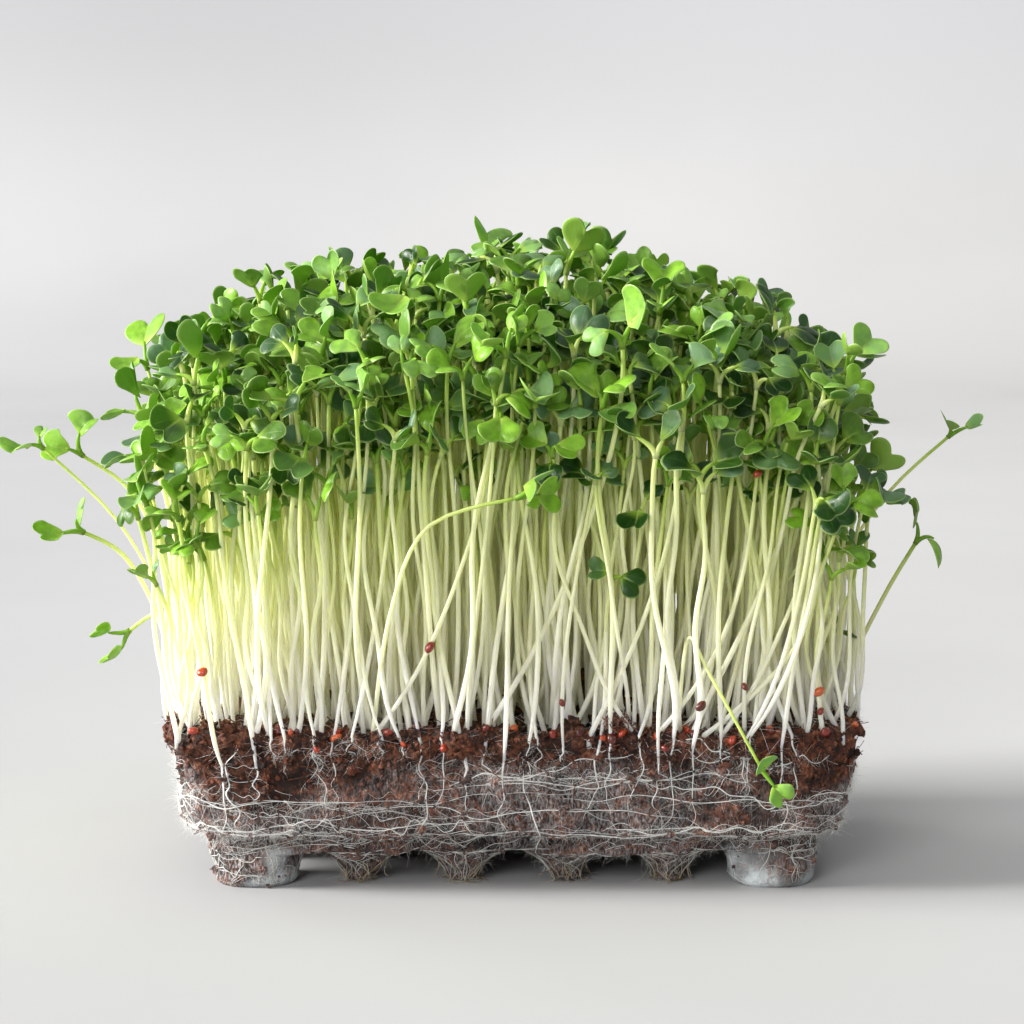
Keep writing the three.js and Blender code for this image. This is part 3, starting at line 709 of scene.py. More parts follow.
def wander(count, steps, size, rough=4):
    """Smooth random sideways paths."""
    knots = rng.normal(0, size, (count, rough + 2))
    u = np.linspace(0, rough + 1, steps)
    low = np.minimum(u.astype(int), rough)
    f = u - low
    f = f * f * (3 - 2 * f)
    return knots[:, low] * (1 - f) + knots[:, low + 1] * f


def taper(count, steps, low, high):
    """Random radii of strands, which grow thin towards both ends."""
    shape = ENDS_KEPT + (1 - ENDS_KEPT) * np.sin(math.pi * np.clip(shares(steps), 0.02, 0.98)) ** 0.5
    return rng.uniform(low, high, (count, 1)) * shape


def along_wall(count, steps, length, level, drift, radius, tone, rough=4):
    u = shares(steps)
    start = rng.random((count, 1))
    reach = rng.uniform(*length, (count, 1)) / RIM_LENGTH * rng.choice([-1, 1], (count, 1))
    slope = rng.normal(0, 2.6, (count, 1)) * (u - 0.5)
    draw, *limits = level
    t = draw(*limits, count)[:, None] + wander(count, steps, drift, rough) + slope
    rise = 0.35 * np.abs(wander(count, steps, 0.5))
    return lay(start + reach * u, t, taper(count, steps, *radius), tone, rise)


def down_wall(count, steps, radius):
    u = shares(steps)
    place = rng.random((count, 1))
    start = rng.uniform(0.3, 9.0, (count, 1))
    end = np.minimum(start + rng.uniform(8.0, 30.0, (count, 1)), WALL_DROP - 0.5)
    s = place + (wander(count, steps, 1.3) + rng.normal(0, 2.5, (count, 1)) * u) / RIM_LENGTH
    t = start + (end - start) * u
    return lay(s, t, taper(count, steps, *radius), 0.0, 0.25 * np.abs(wander(count, steps, 0.5)))


# How far down the wall roots run: over its face, along the ledge and below it. Roots are laid by number,
# steps, lengths, level, drift, radii, tone and number of bends
ON_FACE, ON_LEDGE, BELOW = (rng.uniform, 3.0, 22.0), (rng.normal, 22.6, 0.9), (rng.uniform, 25.0, WALL_DROP)
long_roots = along_wall(120, 48, (18, 80), ON_FACE, 1.0, (0.055, 0.14), 0.0, 9)
ledge_roots = along_wall(28, 48, (20, 80), ON_LEDGE, 0.9, (0.06, 0.15), 0.0, 9)
down_roots = down_wall(28, 28, (0.07, 0.17))
along_wall(260, 16, (4, 18), ON_FACE, 1.2, (0.03, 0.065), 0.0)
along_wall(50, 14, (5, 22), ON_LEDGE, 1.2, (0.03, 0.065), 0.05)
low_roots = along_wall(190, 16, (6, 26), BELOW, 1.2, (0.035, 0.09), 0.1)


def taps_of_spilt():
    """Tap roots that run down from the seedlings in the wall."""
    count, u = len(SPILT_DEPTH), shares(TAP_STEPS)
    t = np.minimum(SPILT_DEPTH[:, None] + 0.2 + rng.uniform(4, 22, (count, 1)) * u, WALL_DROP - 0.4)
    s = share_round(SPILT_WAY, SPILT_PLACE)[:, None] + wander(count, TAP_STEPS, 1.6) * u / RIM_LENGTH
    radius = (0.34 - 0.3 * u ** 0.5) * rng.uniform(0.7, 1.1, (count, 1))
    return lay(s, t, radius, 0.0, 0.0, always=1.0)


tap_roots = taps_of_spilt()
roots.build("root_mat", ROOT, "roots", ["root_net"])

# Fine hairs stand off the roots. No piece has more than this number
MOST_HAIRS, HAIR_STEPS = 8200, 4


def hair(starts, out, along, length, lean):
    count = len(starts)
    angle = rng.uniform(-1.45, 1.45, count)[:, None]
    way = unit(out * np.cos(angle) * lean + np.cross(out, along) * np.sin(angle)
               + along * rng.normal(0, 0.5, (count, 1)))
    reach = rng.uniform(*length, (count, 1, 1))
    u = shares(HAIR_STEPS)[:, :, None]
    curl = rng.normal(0, 0.25, (count, 1, 3))
    line = starts[:, None] + way[:, None] * u * reach + curl * u ** 2 * reach
    line[:, :, 2] = np.maximum(line[:, :, 2], 0.1)
    return line, rng.uniform(0.014, 0.03, (count, 1)) * np.linspace(1, 0.5, HAIR_STEPS)[None], out


def hairs_on(strands, count, length, lean=0.4):
    path, out = strands
    i, j = rng.integers(0, path.shape[0], count), rng.integers(1, path.shape[1] - 1, count)
    return hair(path[i, j], out[i, j], unit(path[i, j + 1] - path[i, j - 1]), length, lean)


def hair_piece(name, tufts, tone):
    line, radius, out = (join(parts) for parts in zip(*tufts))
    shade = rng.random((len(line), 1))
    keep = np.linspace(0, len(line) - 1, min(len(line), MOST_HAIRS)).astype(int)
    hairs = Skin()
    tubes(hairs, line[keep], radius[keep], out[keep][:, None] + (0, 0, 0.01), 3,
          {"tone": tone, "shade": shade[keep]})
    hairs.build(name, ROOT, "roots")


# Hairs on the walls, by number and lengths, in one piece for each side. The left side faces the key lamp, and
# fewer of its hairs are kept
SIDE_DEPTH, LEFT_KEPT = 43, 0.5
tufts = [hairs_on(long_roots, 10500, (0.8, 3.2)), hairs_on(ledge_roots, 5000, (0.8, 2.6)),
         hairs_on(down_roots, 2500, (0.8, 2.8)), hairs_on(tap_roots, 3500, (0.8, 2.6)),
         hairs_on(low_roots, 5000, (0.8, 3.0))]
whole = [join(parts) for parts in zip(*tufts)]
root = whole[0][:, 0]
facing = np.select([root[:, 1] < -SIDE_DEPTH, root[:, 1] > SIDE_DEPTH, root[:, 0] < 0],
                   ["front", "back", "left"], "right")
for name in ("front", "back", "left", "right"):
    mine = (facing == name) & (rng.random(len(root)) < (LEFT_KEPT if name == "left" else 1.0))
    hair_piece(f"root_hairs_{name}", [[part[mine] for part in whole]], 0.1)

# The feet are wrapped in a mat of pale roots, and the nubs end in dry tan wisps on the floor
FOOT_STRANDS, FOOT_STEPS, FOOT_RING = 46, 22, (10.4, 9.4)
NUB_STRANDS, NUB_STEPS, NUB_HAIRS = 40, 16, 240
NUB_PROFILE = np.array([(2.5, 0.0), *NUB_FORM, (10.8, 9.0)])
mats = Skin()


def set_on(here, ring):
    """Points about a stand's place brought onto the soil, and the soil's directions there."""
    return [part.reshape(ring.shape) for part in drop_on((here + ring).reshape(-1, 3))]


def wrap_foot(here, count, steps):
    u = shares(steps)
    start = rng.uniform(0, TAU, (count, 1))
    steep = rng.random((count, 1)) < 0.45
    turn = np.where(steep, rng.normal(0, 0.25, (count, 1)), rng.uniform(-2.2, 2.2, (count, 1)))
    a = start + turn * u + wander(count, steps, 0.06)
    z = np.where(steep, 11.0 - 10.2 * u, rng.uniform(0.8, 9.5, (count, 1)) + wander(count, steps, 1.1, 2))
    at, way = set_on(here, np.stack([FOOT_RING[0] * np.cos(a), FOOT_RING[1] * np.sin(a),
                                     np.clip(z, 0.35, 11.5)], -1))
    radius = taper(count, steps, 0.03, 0.1)
    path = eased(at + way * (radius * 0.7 + 0.05)[:, :, None], 1)
    path[:, :, 2] = np.maximum(path[:, :, 2], radius + 0.02)
    tubes(mats, path, radius, way, 4, {"tone": rng.uniform(0.05, 0.4, (count, 1)),
                                       "shade": rng.uniform(0.4, 1.0, (count, 1))})


def wrap_nub(here, count, steps):
    """Wraps a nub and returns its hairs."""
    u = shares(steps)
    a = rng.uniform(0, TAU, (count, 1)) + wander(count, steps, 0.42)
    z = 8.2 * (1 - smooth(0.0, rng.uniform(0.6, 1.3, (count, 1)), u)) + 0.25
    r = np.interp(z, NUB_PROFILE[:, 1], NUB_PROFILE[:, 0])
    at, way = set_on(here, np.stack([r * np.cos(a), r * np.sin(a), z], -1))
    radius = taper(count, steps, 0.03, 0.1)
    out = np.stack([np.cos(a), np.sin(a), np.zeros_like(a)], -1)
    spill = rng.uniform(0.3, 5.0, (count, 1)) * rng.random((count, 1)) * smooth(0.55, 1.0, u)
    path = eased(at + way * rng.uniform(0.08, 0.5, (count, steps, 1)) + out * spill[:, :, None], 2)
    path[:, :, 2] = np.maximum(path[:, :, 2], radius + 0.03)
    hairs = hairs_on((path, way), NUB_HAIRS, (0.8, 3.0), 0.9)
    tubes(mats, path, radius, way + 0.01, 4,
          {"tone": np.clip(rng.uniform(-0.2, 0.3, (count, 1)) + 0.9 * u ** 1.3, 0, 1),
           "shade": rng.random((count, 1))})
    return hairs


for here in [place for place, corner in stands() if corner]:
    wrap_foot(here, FOOT_STRANDS, FOOT_STEPS)
nub_hairs = [wrap_nub(place, NUB_STRANDS, NUB_STEPS) for place, corner in stands() if not corner]
mats.build("root_mats_on_feet", ROOT, "roots")
hair_piece("root_hairs_on_nubs", nub_hairs, 0.25)

# Seed leaves: forms of one notched blade, each with its own cupping. Rings are shares of the way to its edge,
# above and below
LEAF_STEPS, LEAF_FORMS, LEAF_THICK = 34, 28, 0.034
RINGS, UNDER = (0.3, 0.56, 0.78, 0.93, 1.0), (1.0, 0.8, 0.42)
MIDDLE = np.array([0.0, 0.5])


def leaf_outline(notch, left, right, wedge):
    half = np.array([(0.05, 0.0), (0.30, 0.06 * wedge), (0.74, 0.24 * wedge), (0.98, 0.52), (0.95, 0.78),
                     (0.70, 0.96), (0.40, 0.98), (0.15, 0.5 * (0.96 + notch)), (0.0, notch)])
    knots = join([half * (right, 1), half[-2::-1] * (-left, 1)])
    u = np.linspace(0, len(knots), LEAF_STEPS, endpoint=False)
    i = u.astype(int)
    return catmull(join([knots[-1:], knots, knots[:2]]), i, (u - i)[:, None])


def leaf_form():
    """A blade of half width 1 and length 1: its points, faces, places in a sheet and values at its points."""
    outline = leaf_outline(rng.uniform(0.68, 0.86), rng.uniform(0.88, 1.08), rng.uniform(0.88, 1.08),
                           rng.uniform(1.1, 1.9))
    fold, cup, curl = rng.uniform(-0.12, 0.8), rng.uniform(-0.75, 0.3), rng.uniform(-0.28, 0.14)
    wave, phase, twist = rng.uniform(0.0, 0.08), rng.uniform(0, TAU), rng.normal(0, 0.16)
    angle = np.linspace(0, TAU, LEAF_STEPS, endpoint=False)

    def surface(share, layers=0.0):
        x, y = (MIDDLE + (outline - MIDDLE) * share).T
        z = (fold * np.abs(x) ** 1.25 + cup * y ** 2 + curl * share ** 4 + twist * x * y
             + wave * np.sin(3 * angle + phase) * share ** 3
             - 0.05 * np.exp(-(x / 0.1) ** 2) * (1 - 0.6 * share))
        return np.stack([x, y, z - layers * LEAF_THICK * (1 - 0.35 * min(share, 1.0) ** 3)], 1)

    def by_ring(first, rings, last):
        return join([[first], np.repeat(rings, LEAF_STEPS), [last]])

    points = join([surface(0.0)[:1], *map(surface, RINGS), surface(1.012, 1), *(surface(s, 2) for s in UNDER),
                   surface(0.0, 2)[:1]])
    j = np.arange(LEAF_STEPS)
    k = (j + 1) % LEAF_STEPS
    rings = len(RINGS) + 1 + len(UNDER)
    starts = 1 + LEAF_STEPS * np.arange(rings)
    bands = [np.stack([a + j, b + j, b + k, a + k], 1) for a, b in zip(starts, starts[1:])]
    over = len(RINGS) + 1
    faces = [join(bands[:over]), np.stack([0 * j, j + 1, k + 1], 1), join(bands[over:]),
             np.stack([0 * j + len(points) - 1, starts[-1] + k, starts[-1] + j], 1)]
    sheet = np.stack([0.5 + 0.42 * points[:, 0], 0.06 + 0.86 * points[:, 1]], 1)
    flat, under = [1.0] * len(RINGS), [1.0] * (len(UNDER) - 1)
    rim_sheet = 0.5 + (sheet - 0.5) * by_ring(1.0, [*flat, 1.05, 1.1, *under], 1.0)[:, None]
    places = [at[face] for at, face in zip((rim_sheet, rim_sheet, sheet, sheet), faces)]
    values = {"leaf_x": points[:, 0], "leaf_y": points[:, 1],
              "edge": by_ring(0.0, [*RINGS, 1.0, *UNDER], 0.0),
              "side": by_ring(1.0, [*flat, 0.6, *(0.0 for _ in UNDER)], 0.0)}
    return points, faces, places, values


FORMS = [leaf_form() for _ in range(LEAF_FORMS)]


def leaves(skin, base, forward, up, length, width, shade, bloom, form):
    """Adds blades. base, forward and up are blades x 3, and the rest one number a blade. Each side of a blade
    has its own cell in the piece's sheet."""
    forward = unit(forward)
    across = unit(np.cross(forward, up))
    up = np.cross(across, forward)
    for which in np.unique(form):
        mine = np.nonzero(form == which)[0]
        count = len(mine)
        p, faces, sheet, values = FORMS[which]
        half, tall = width[mine, None, None] / 2, length[mine, None, None]
        body = (base[mine, None] + across[mine, None] * p[None, :, :1] * half
                + forward[mine, None] * p[None, :, 1:2] * tall + up[mine, None] * p[None, :, 2:] * half)
        cell = skin.cells + 2 * np.arange(count)
        skin.cells += 2 * count
        skin.add(body, copies(faces, count, len(p)), [np.tile(q, (count, 1, 1)) for q in sheet],
                 [np.repeat(cell + i // 2, len(f)) for i, f in enumerate(faces)],
                 shade=np.repeat(shade[mine], len(p)), bloom=np.repeat(bloom[mine], len(p)),
                 **{name: np.tile(v, count) for name, v in values.items()})


# Seedlings
STEM_STEPS, STALK_STEPS, STALK_START = 19, 7, 0.82
STALK_RADIUS = np.linspace(0.66, 0.4, STALK_STEPS)[None] * (1, 1, 1, 1, 0.95, 0.85, 0.5)
# Sizes of the first and the second leaf of a pair, and the least and greatest of their other measures
PAIR = ((0.95, 1.15), (0.72, 1.0))
STALK_LENGTHS, STALK_SPREADS, LEAF_LENGTHS, LEAF_SHAPES = (2.6, 5.2), (0.3, 0.85), (5.3, 7.3), (1.15, 1.4)


def seedlings(stem_skin, leaf_skin, path, axis, spin, size, shade, thin=0.0):
    """Adds stems along paths, and a pair of leaves on stalks at the end of each."""
    count, steps, _ = path.shape
    u = shares(steps)
    radius = STEM_RADIUS * size[:, None] ** 0.5 * (1.05 - 0.3 * u + 0.12 * np.exp(-((u - 0.02) / 0.05) ** 2))
    radius = radius * rng.uniform(0.82, 1.12, (count, 1))
    radius = radius * (1 - np.broadcast_to(thin, (count,))[:, None] * smooth(0.2, 0.04, u))
    tubes(stem_skin, path, radius, (1.0, 0.3, 0.0), 7,
          {"along": STALK_START * u, "shade": 0.2 + 0.5 * shade[:, None]}, True)
    tip = path[:, -1]
    grown = unit(path[:, -1] - path[:, -2])
    axis = unit(axis)
    east = unit(np.cross(axis, np.array([0.31, 0.95, 0.11])))
    north = np.cross(axis, east)
    for pair, sizes in enumerate(PAIR):
        angle = (spin + pair * math.pi + rng.normal(0, 0.3, count))[:, None]
        outward = east * np.cos(angle) + north * np.sin(angle)
        scale = size * rng.uniform(*sizes, count)
        stalk = (rng.uniform(*STALK_LENGTHS, count) * size)[:, None]
        spread_by = rng.uniform(*STALK_SPREADS, (count, 1))
        rising = unit(unit(grown + 1.2 * axis) * np.cos(spread_by) + outward * np.sin(spread_by))
        lift = np.clip(rng.normal(0.55, 0.42, (count, 1)), -0.35, 1.3)
        heading = unit(outward * np.cos(lift) + axis * np.sin(lift))
        end = tip + rising * stalk
        curve = bezier(tip - grown * 0.8, tip + unit(grown + 0.5 * rising) * stalk * 0.3,
                       end - unit(heading + rising) * stalk * 0.3, end + heading * scale[:, None] * 0.9,
                       STALK_STEPS)
        tubes(stem_skin, curve, STALK_RADIUS * size[:, None] ** 0.5, np.cross(axis, outward)[:, None], 6,
              {"along": np.linspace(STALK_START, 1.0, STALK_STEPS), "shade": shade[:, None]}, True)
        up = unit(axis * np.cos(lift) - outward * np.sin(lift)
                  + np.cross(heading, axis) * rng.normal(0, 0.22, (count, 1)))
        length = rng.uniform(*LEAF_LENGTHS, count) * scale
        width = length * rng.uniform(*LEAF_SHAPES, count)
        tint = np.clip(shade + rng.normal(0, 0.2, count), 0, 1)
        bloom = np.clip(rng.normal(0.04, 0.42, count), 0, 0.8)
        leaves(leaf_skin, end, heading, up, length, width, tint, bloom, rng.integers(0, LEAF_FORMS, count))


def clump(column, row):
    """Base places of a clump's seedlings, closer on the clumps that show."""
    shown = row in (0, CLUMPS[1] - 1)
    nx, ny = (9, 7) if shown else (7, 7) if column in (0, CLUMPS[0] - 1) else (6, 5)
    u, v = np.meshgrid((np.arange(nx) + 0.5) / nx, (np.arange(ny) + 0.5) / ny, indexing="ij")
    u = 2 * (u.ravel() + rng.uniform(-0.4, 0.4, nx * ny) / nx) - 1
    v = 2 * (v.ravel() + rng.uniform(-0.4, 0.4, nx * ny) / ny) - 1
    pull = np.maximum(1, (u ** 4 + v ** 4) ** 0.25 / 0.97)
    x = (column - (CLUMPS[0] - 1) / 2 + u / pull / 2) * PITCH[0]
    y = (row - (CLUMPS[1] - 1) / 2 + v / pull / 2) * PITCH[1]
    return np.stack([x, y, np.full(len(x), SOIL_TOP - 1.5)], 1)


def cell_of(place):
    """The column and the row of the clump nearest to each place."""
    return [np.clip(np.floor(place[:, k] / PITCH[k] + CLUMPS[k] / 2), 0, CLUMPS[k] - 1) for k in (0, 1)]


# Tall seedlings that lean across the front: foot, tip, size and, for some, the way they set out
LEADERS = (((-7.0, -50.5), (22.5, -59.0, 119.0), 1.15), ((-13.0, -51.0), (-1.5, -58.0, 117.0), 1.05),
           ((38.0, -50.0), (70.0, -50.0, 113.0), 1.05), ((44.0, -51.0), (68.0, -55.0, 107.0), 1.0),
           ((-30.0, -50.0), (-3.0, -58.5, 104.0), 1.0), ((16.0, -51.0), (35.0, -60.0, 112.0), 1.0),
           ((40.0, -51.0), (69.0, -55.0, 84.0), 0.95, (1.5, -0.12, 1.0)),
           ((30.0, -51.0), (52.0, -57.0, 98.0), 0.9, (0.9, -0.1, 1.0)),
           ((26.0, -50.5), (8.0, -57.0, 96.0), 0.9, (-0.7, -0.1, 1.0)),
           ((-52.0, -50.0), (-50.5, -57.0, 103.0), 1.2), ((-46.0, -50.0), (-44.0, -57.5, 93.0), 1.1),
           ((-41.0, -50.5), (-41.5, -57.0, 83.0), 0.9), ((-55.0, -50.0), (-53.5, -56.0, 84.0), 0.95),
           ((-70.0, -44.0), (-80.0, -47.0, 82.0), 1.0), ((-69.0, -46.0), (-76.0, -50.0, 68.0), 0.65))
# The outermost feet, the farthest that a foot may stray, and the part of the stand that counts as its front
OUTERMOST, FARTHEST, FRONT_FROM = (74, 50), np.array([72, 50]), -30
# Shares of seedlings that end near the canopy's top, or above its lower part, and how far down each kind ends
NEAR_TOP, TO_MIDDLE = 0.68, 0.965
DROPS = ((-3, 13), (8, 26), (25, 48))
STEM_PATHS = []


def canopy(rooted, drop):
    """Tips of seedlings, from where they root and how far below the canopy's top they end."""
    x, y = (rooted * (1 + np.array(FLARE)) / CANOPY_REACH).T
    z = CANOPY_TOP - CANOPY_FALL * (x ** 2 + y ** 2) - drop - 6
    rise = np.maximum(0, (z - SOIL_TOP) / (CANOPY_TOP - SOIL_TOP)) ** 1.5
    return np.column_stack([rooted * (1 + rise[:, None] * FLARE), z])


def grow(column, row):
    """Grows one clump: its own seedlings, those in the wall beside it, and the front's tall ones."""
    base = clump(column, row)
    spill_column, spill_row = cell_of(SPILT_PLACE)
    mine = (spill_column == column) & (spill_row == row)
    way = SPILT_WAY[mine]
    tall = [one for one in LEADERS if row == 0 and cell_of(np.array([one[0]]))[0][0] == column]
    wall_at = on_wall(share_round(way, SPILT_PLACE[mine]), SPILT_DEPTH[mine] + 0.2)
    spilt = drop_on(wall_at)[0] + np.column_stack([way * 0.15, np.zeros(len(way))])
    inner, outer = len(base), len(spilt)
    walled, led = slice(inner, inner + outer), range(inner + outer, inner + outer + len(tall))
    base = join([base, spilt, *[[(*one[0], SOIL_TOP - 1.0)] for one in tall]])
    count = len(base)
    one_each, two_each = (count, 1), (count, 2)
    ones = np.ones(one_each)
    right = smooth(0.6, 1, base[:, 0] / OUTERMOST[0])
    out = np.sign(base[:, :2]) * np.abs(base[:, :2] / OUTERMOST) ** 3
    edge = np.clip(np.linalg.norm(out, axis=1), 0, 1)
    # Most seedlings end near the canopy's top, some lower, and a few far down among the stems
    kind = rng.random(count)
    near, middle, far = (rng.uniform(*limits, count) for limits in DROPS)
    drop = np.where(kind < NEAR_TOP, near, np.where(kind < TO_MIDDLE, middle, far))
    drop = drop + edge * rng.uniform(0, 20, count) + 12 * right * rng.random(count)
    drop[inner:] = np.minimum(drop[inner:], 24)
    drop = np.where(base[:, 0] < -25, np.minimum(drop, 34), drop)
    rooted = base[:, :2].copy()
    rooted[walled] -= way * rng.uniform(1, 9, (outer, 1))
    tip = canopy(rooted, drop)
    tip[:, :2] += rng.normal(0, 2.4, two_each) + out * rng.uniform(0, 6, one_each)
    tip[:, 0] -= 4 * right
    tip[walled, :2] += np.abs(way[:, ::-1]) * rng.normal(0, 8, (outer, 1))
    for k, one in zip(led, tall):
        tip[k] = one[1]
    # Feet stray along the block's edge, and stems set out with a lean of their own and straighten
    stray = np.where(rng.random(one_each) < 0.36, 6.5, 2.0) * rng.normal(0, 1, one_each)
    along_side = (1.0, 0.35) if row in (0, CLUMPS[1] - 1) else (0.35, 1.0)
    moved = base[:inner, :2] + (stray * along_side * edge[:, None])[:inner]
    base[:inner, :2] = np.clip(moved, -FARTHEST, FARTHEST)
    front = base[:, 1] < FRONT_FROM
    rise = (tip[:, 2] - base[:, 2])[:, None]
    lean = (tip[:, :2] - base[:, :2]) / rise
    unruly = (0.1 + 0.13 * smooth(-0.5, 0.4, base[:, 0] / HALF[0]) * front)[:, None]
    wild = np.where(rng.random(one_each) < 0.32, 2.6, 1.0)
    slant = rng.uniform(1.1, 2.4, one_each) * lean
    first = np.hstack([slant + rng.normal(0, 1, two_each) * wild * unruly, ones])
    first[walled, :2] += way * rng.uniform(0.05, 0.2, (outer, 1))
    last = np.hstack([0.3 * lean + rng.normal(0, 0.14, two_each) + 0.2 * out, ones])
    reach = rng.uniform(0.24, 0.5, one_each)
    for k, one in zip(led, tall):
        if len(one) > 3:
            first[k] = one[3]
            reach[k] = 0.55
    path = bezier(base, base + unit(first) * rise * reach, tip - unit(last) * rise * 0.3, tip, STEM_STEPS - 1)
    u = shares(STEM_STEPS - 1)
    for k, amount in ((0, 1.3), (1, 0.7)):
        swing = rng.uniform(0.1, amount, one_each) * np.sin(TAU * rng.uniform(0.7, 1.9, one_each) * u
                                                           + rng.uniform(0, TAU, one_each))
        path[:, :, k] += swing * np.sin(math.pi * u) ** 0.8
    buried = base - (0, 0, 2.5)
    buried[walled] += np.column_stack([way * -1.5, np.full(outer, 1.5)])
    path = join([buried[:, None], path], 1)
    axis = np.hstack([rng.normal(0, 0.3, two_each) + 0.6 * out, 0.9 * ones])
    axis[:, 1] -= 0.15 * front
    # Painted light: seedlings towards the left, the key lamp's side, get a higher shade, so their leaves are
    # painted lighter and their stems a little greener; a random tone is added on top
    light = 0.5 - 0.2 * np.sin(np.clip(base[:, 0] / HALF[0], -1, 1) * 1.4)
    shade = np.clip(light + rng.normal(0, 0.45, count), 0, 1)
    size = rng.uniform(0.82, 1.12, count) * np.where(drop > 24, 0.8, 1.0)
    for k, one in zip(led, tall):
        size[k], shade[k] = one[2], 0.8 if one[1][0] > -40 else 0.5
    thin = np.zeros(count)
    thin[walled] = 0.5
    STEM_PATHS.append(path)
    stem_skin, leaf_skin = Skin(), Skin()
    seedlings(stem_skin, leaf_skin, path, axis, rng.uniform(0, TAU, count), size, shade, thin)
    name = f"r{row + 1}_c{column + 1}"
    stem_skin.build(f"stems_{name}_fine", STEM, "stems", [f"stems_{name}"])
    leaf_skin.build(f"leaves_{name}_fine", LEAF, "leaves", [f"leaves_{name}"])


for row, column in itertools.product(range(CLUMPS[1]), range(CLUMPS[0])):
    grow(column, row)

# Stray seedlings: the route of each one's solid, the way its leaves face, their turn and its size
STRAYS = {
    "far_left": (((-72, -22, 36), (-76, -23, 56), (-87, -25, 78), (-103.5, -27, 95)),
                 (-0.3, -0.5, 0.8), 1.3, 0.74),
    "left_fan_upper": (((-73, -8, 36), (-77, -9, 60), (-85, -11, 82), (-97, -13, 92)),
                       (-0.4, -0.7, 0.5), 0.2, 1.0),
    "left_fan_lower": (((-73, -32, 36), (-77, -34, 57), (-84, -38, 72), (-93, -41, 78)),
                       (-0.5, -0.7, 0.4), 0.5, 1.0),
    "left_low": (((-73, 26, 36), (-78, 27, 45), (-85, 29, 50), (-93, 31, 45)), (-0.5, -0.5, -0.1), 0.4, 1.0),
    "right_far": (((72, 30, 36), (77, 32, 58), (90, 35, 78), (105.4, 38, 92)), (0.4, -0.5, 0.6), 0.2, 0.88),
    "right_low": (((73, -12, 36), (77, -13, 47), (84, -15, 62), (90, -17, 73)), (0.7, -0.1, 0.7), 0.0, 1.0),
    "front_droop": (((35, -50, 36), (36.5, -57, 57), (41, -60.5, 50), (52, -61.5, 30)),
                    (0.45, -0.8, -0.1), 0.5, 0.8),
    "front_arch": (((-30, -50, 36), (-26, -58, 62), (-18, -60.5, 81), (1, -62, 87.5)),
                   (0.6, -0.7, 0.15), 0.9, 1.0),
}
STRAY_STEPS, STRAY_SHADE, STRAY_BURIED = 22, 0.95, (0, 0, 3)
for name, (route, axis, spin, size) in STRAYS.items():
    route = np.array(route, float)
    whole = join([route[:1] - STRAY_BURIED, route])
    u = np.linspace(0, len(whole) - 1, STRAY_STEPS)
    i = np.minimum(u.astype(int), len(whole) - 2)
    path = catmull(join([whole[:1], whole, whole[-1:]]), i, (u - i)[:, None])
    stem_skin, leaf_skin = Skin(), Skin()
    seedlings(stem_skin, leaf_skin, path[None], *(np.array([v]) for v in (axis, spin, size, STRAY_SHADE)))
    stem_skin.build(f"stray_{name}_stem", STEM, "strays", [f"stray_{name}"])
    leaf_skin.build(f"stray_{name}_leaves", LEAF, "strays")


def foot_hairs(count, rise, length):
    """Fine hairs and thin side roots stand about the feet of the stems on the edge."""
    feet = join([group[:, 1:6] for group in STEM_PATHS])
    feet = feet[edge_share(feet[:, 0]) > 0.85]
    i, f = rng.integers(0, len(feet), count), rng.random((count, 1)) ** 1.5 * rise
    step = unit(feet[i, 2] - feet[i, 0])
    angle = rng.uniform(0, TAU, count)
    out = np.stack([np.cos(angle), np.sin(angle), np.zeros(count)], 1)
    return hair(feet[i, 0] + step * f, out, step, length, 1.0)


hair_piece("stem_foot_hairs", [foot_hairs(4200, 9.0, (0.7, 2.2)), foot_hairs(900, 6.0, (3.0, 8.0))], 0.0)

# Seed hulls lie on the rim at random, and on the front edge where they are seen. A few cling to front stems,
# each at a place across and a height
SEEN = np.array([(-71.5, -47, 36.5), (-68, -50.5, 36), (-50, -50.5, 37), (-47.5, -51.5, 36.5),
                 (-42, -53, 32.5), (-37.5, -51, 36), (-28, -50, 37), (-16, -53.5, 32.5), (8, -51.5, 36.5),
                 (14, -51.5, 36.5), (19, -53, 35.5), (30, -52.5, 35.5), (32, -53, 33), (54.5, -51.5, 36.5),
                 (48, -50, 37), (67, -49.5, 36.5), (75.5, -20, 32), (-24, -53, 34)])
CLING = ((-66, 49), (-17, 54), (10, 45), (37, 44), (47.5, 44), (66, 41.5), (66.5, 44.5), (50, 92))
HULL_SHAPE, HULLS_AT_RANDOM, HULL_SIZES = (1.25, 0.98, 0.78), 40, (0.75, 1.15)


def hull_places():
    place, way = spread(HULLS_AT_RANDOM, on_top_edge)
    seen, seen_way = drop_on(SEEN)
    stems = join([p for group in STEM_PATHS for p in group])
    near = [np.hypot(stems[:, 0] - x, stems[:, 2] - z) + 0.8 * (stems[:, 1] + 60) for x, z in CLING]
    held = stems[np.argmin(near, axis=1)] - (0, STEM_RADIUS, 0)
    return join([place, seen, held]), join([way, seen_way, np.repeat([[0.0, -1.0, 0.0]], len(held), 0)])


def seed_hulls(place, way, size, shade):
    shape, tris = ball(3)
    crease = np.exp(-(shape[:, 1] / 0.22) ** 2) * (shape[:, 2] > 0)
    skin = Skin()
    for p, w, r, tint in zip(place, way, size, shade):
        axes = turned()
        rough = (1 - 0.1 * crease) * (1 + 0.1 * noise(shape * 2 + p, 1.0, 9))
        skin.add(shape * HULL_SHAPE * rough[:, None] @ axes * r + p + w * r * 0.35, [tris], shade=tint)
    skin.build("seed_hulls", SEED, "soil")


place, way = hull_places()
seed_hulls(place, way, rng.uniform(*HULL_SIZES, len(place)), rng.random(len(place)))

# The floor sweeps up behind into a plain backdrop. It is darker towards the key lamp, so it looks evenly lit
FLOOR_WIDTH, FLOOR_FRONT, FLOOR_BACK, SWEEP_RADIUS, BACKDROP_TOP = 6.0, -3.0, 1.5, 0.8, 3.0


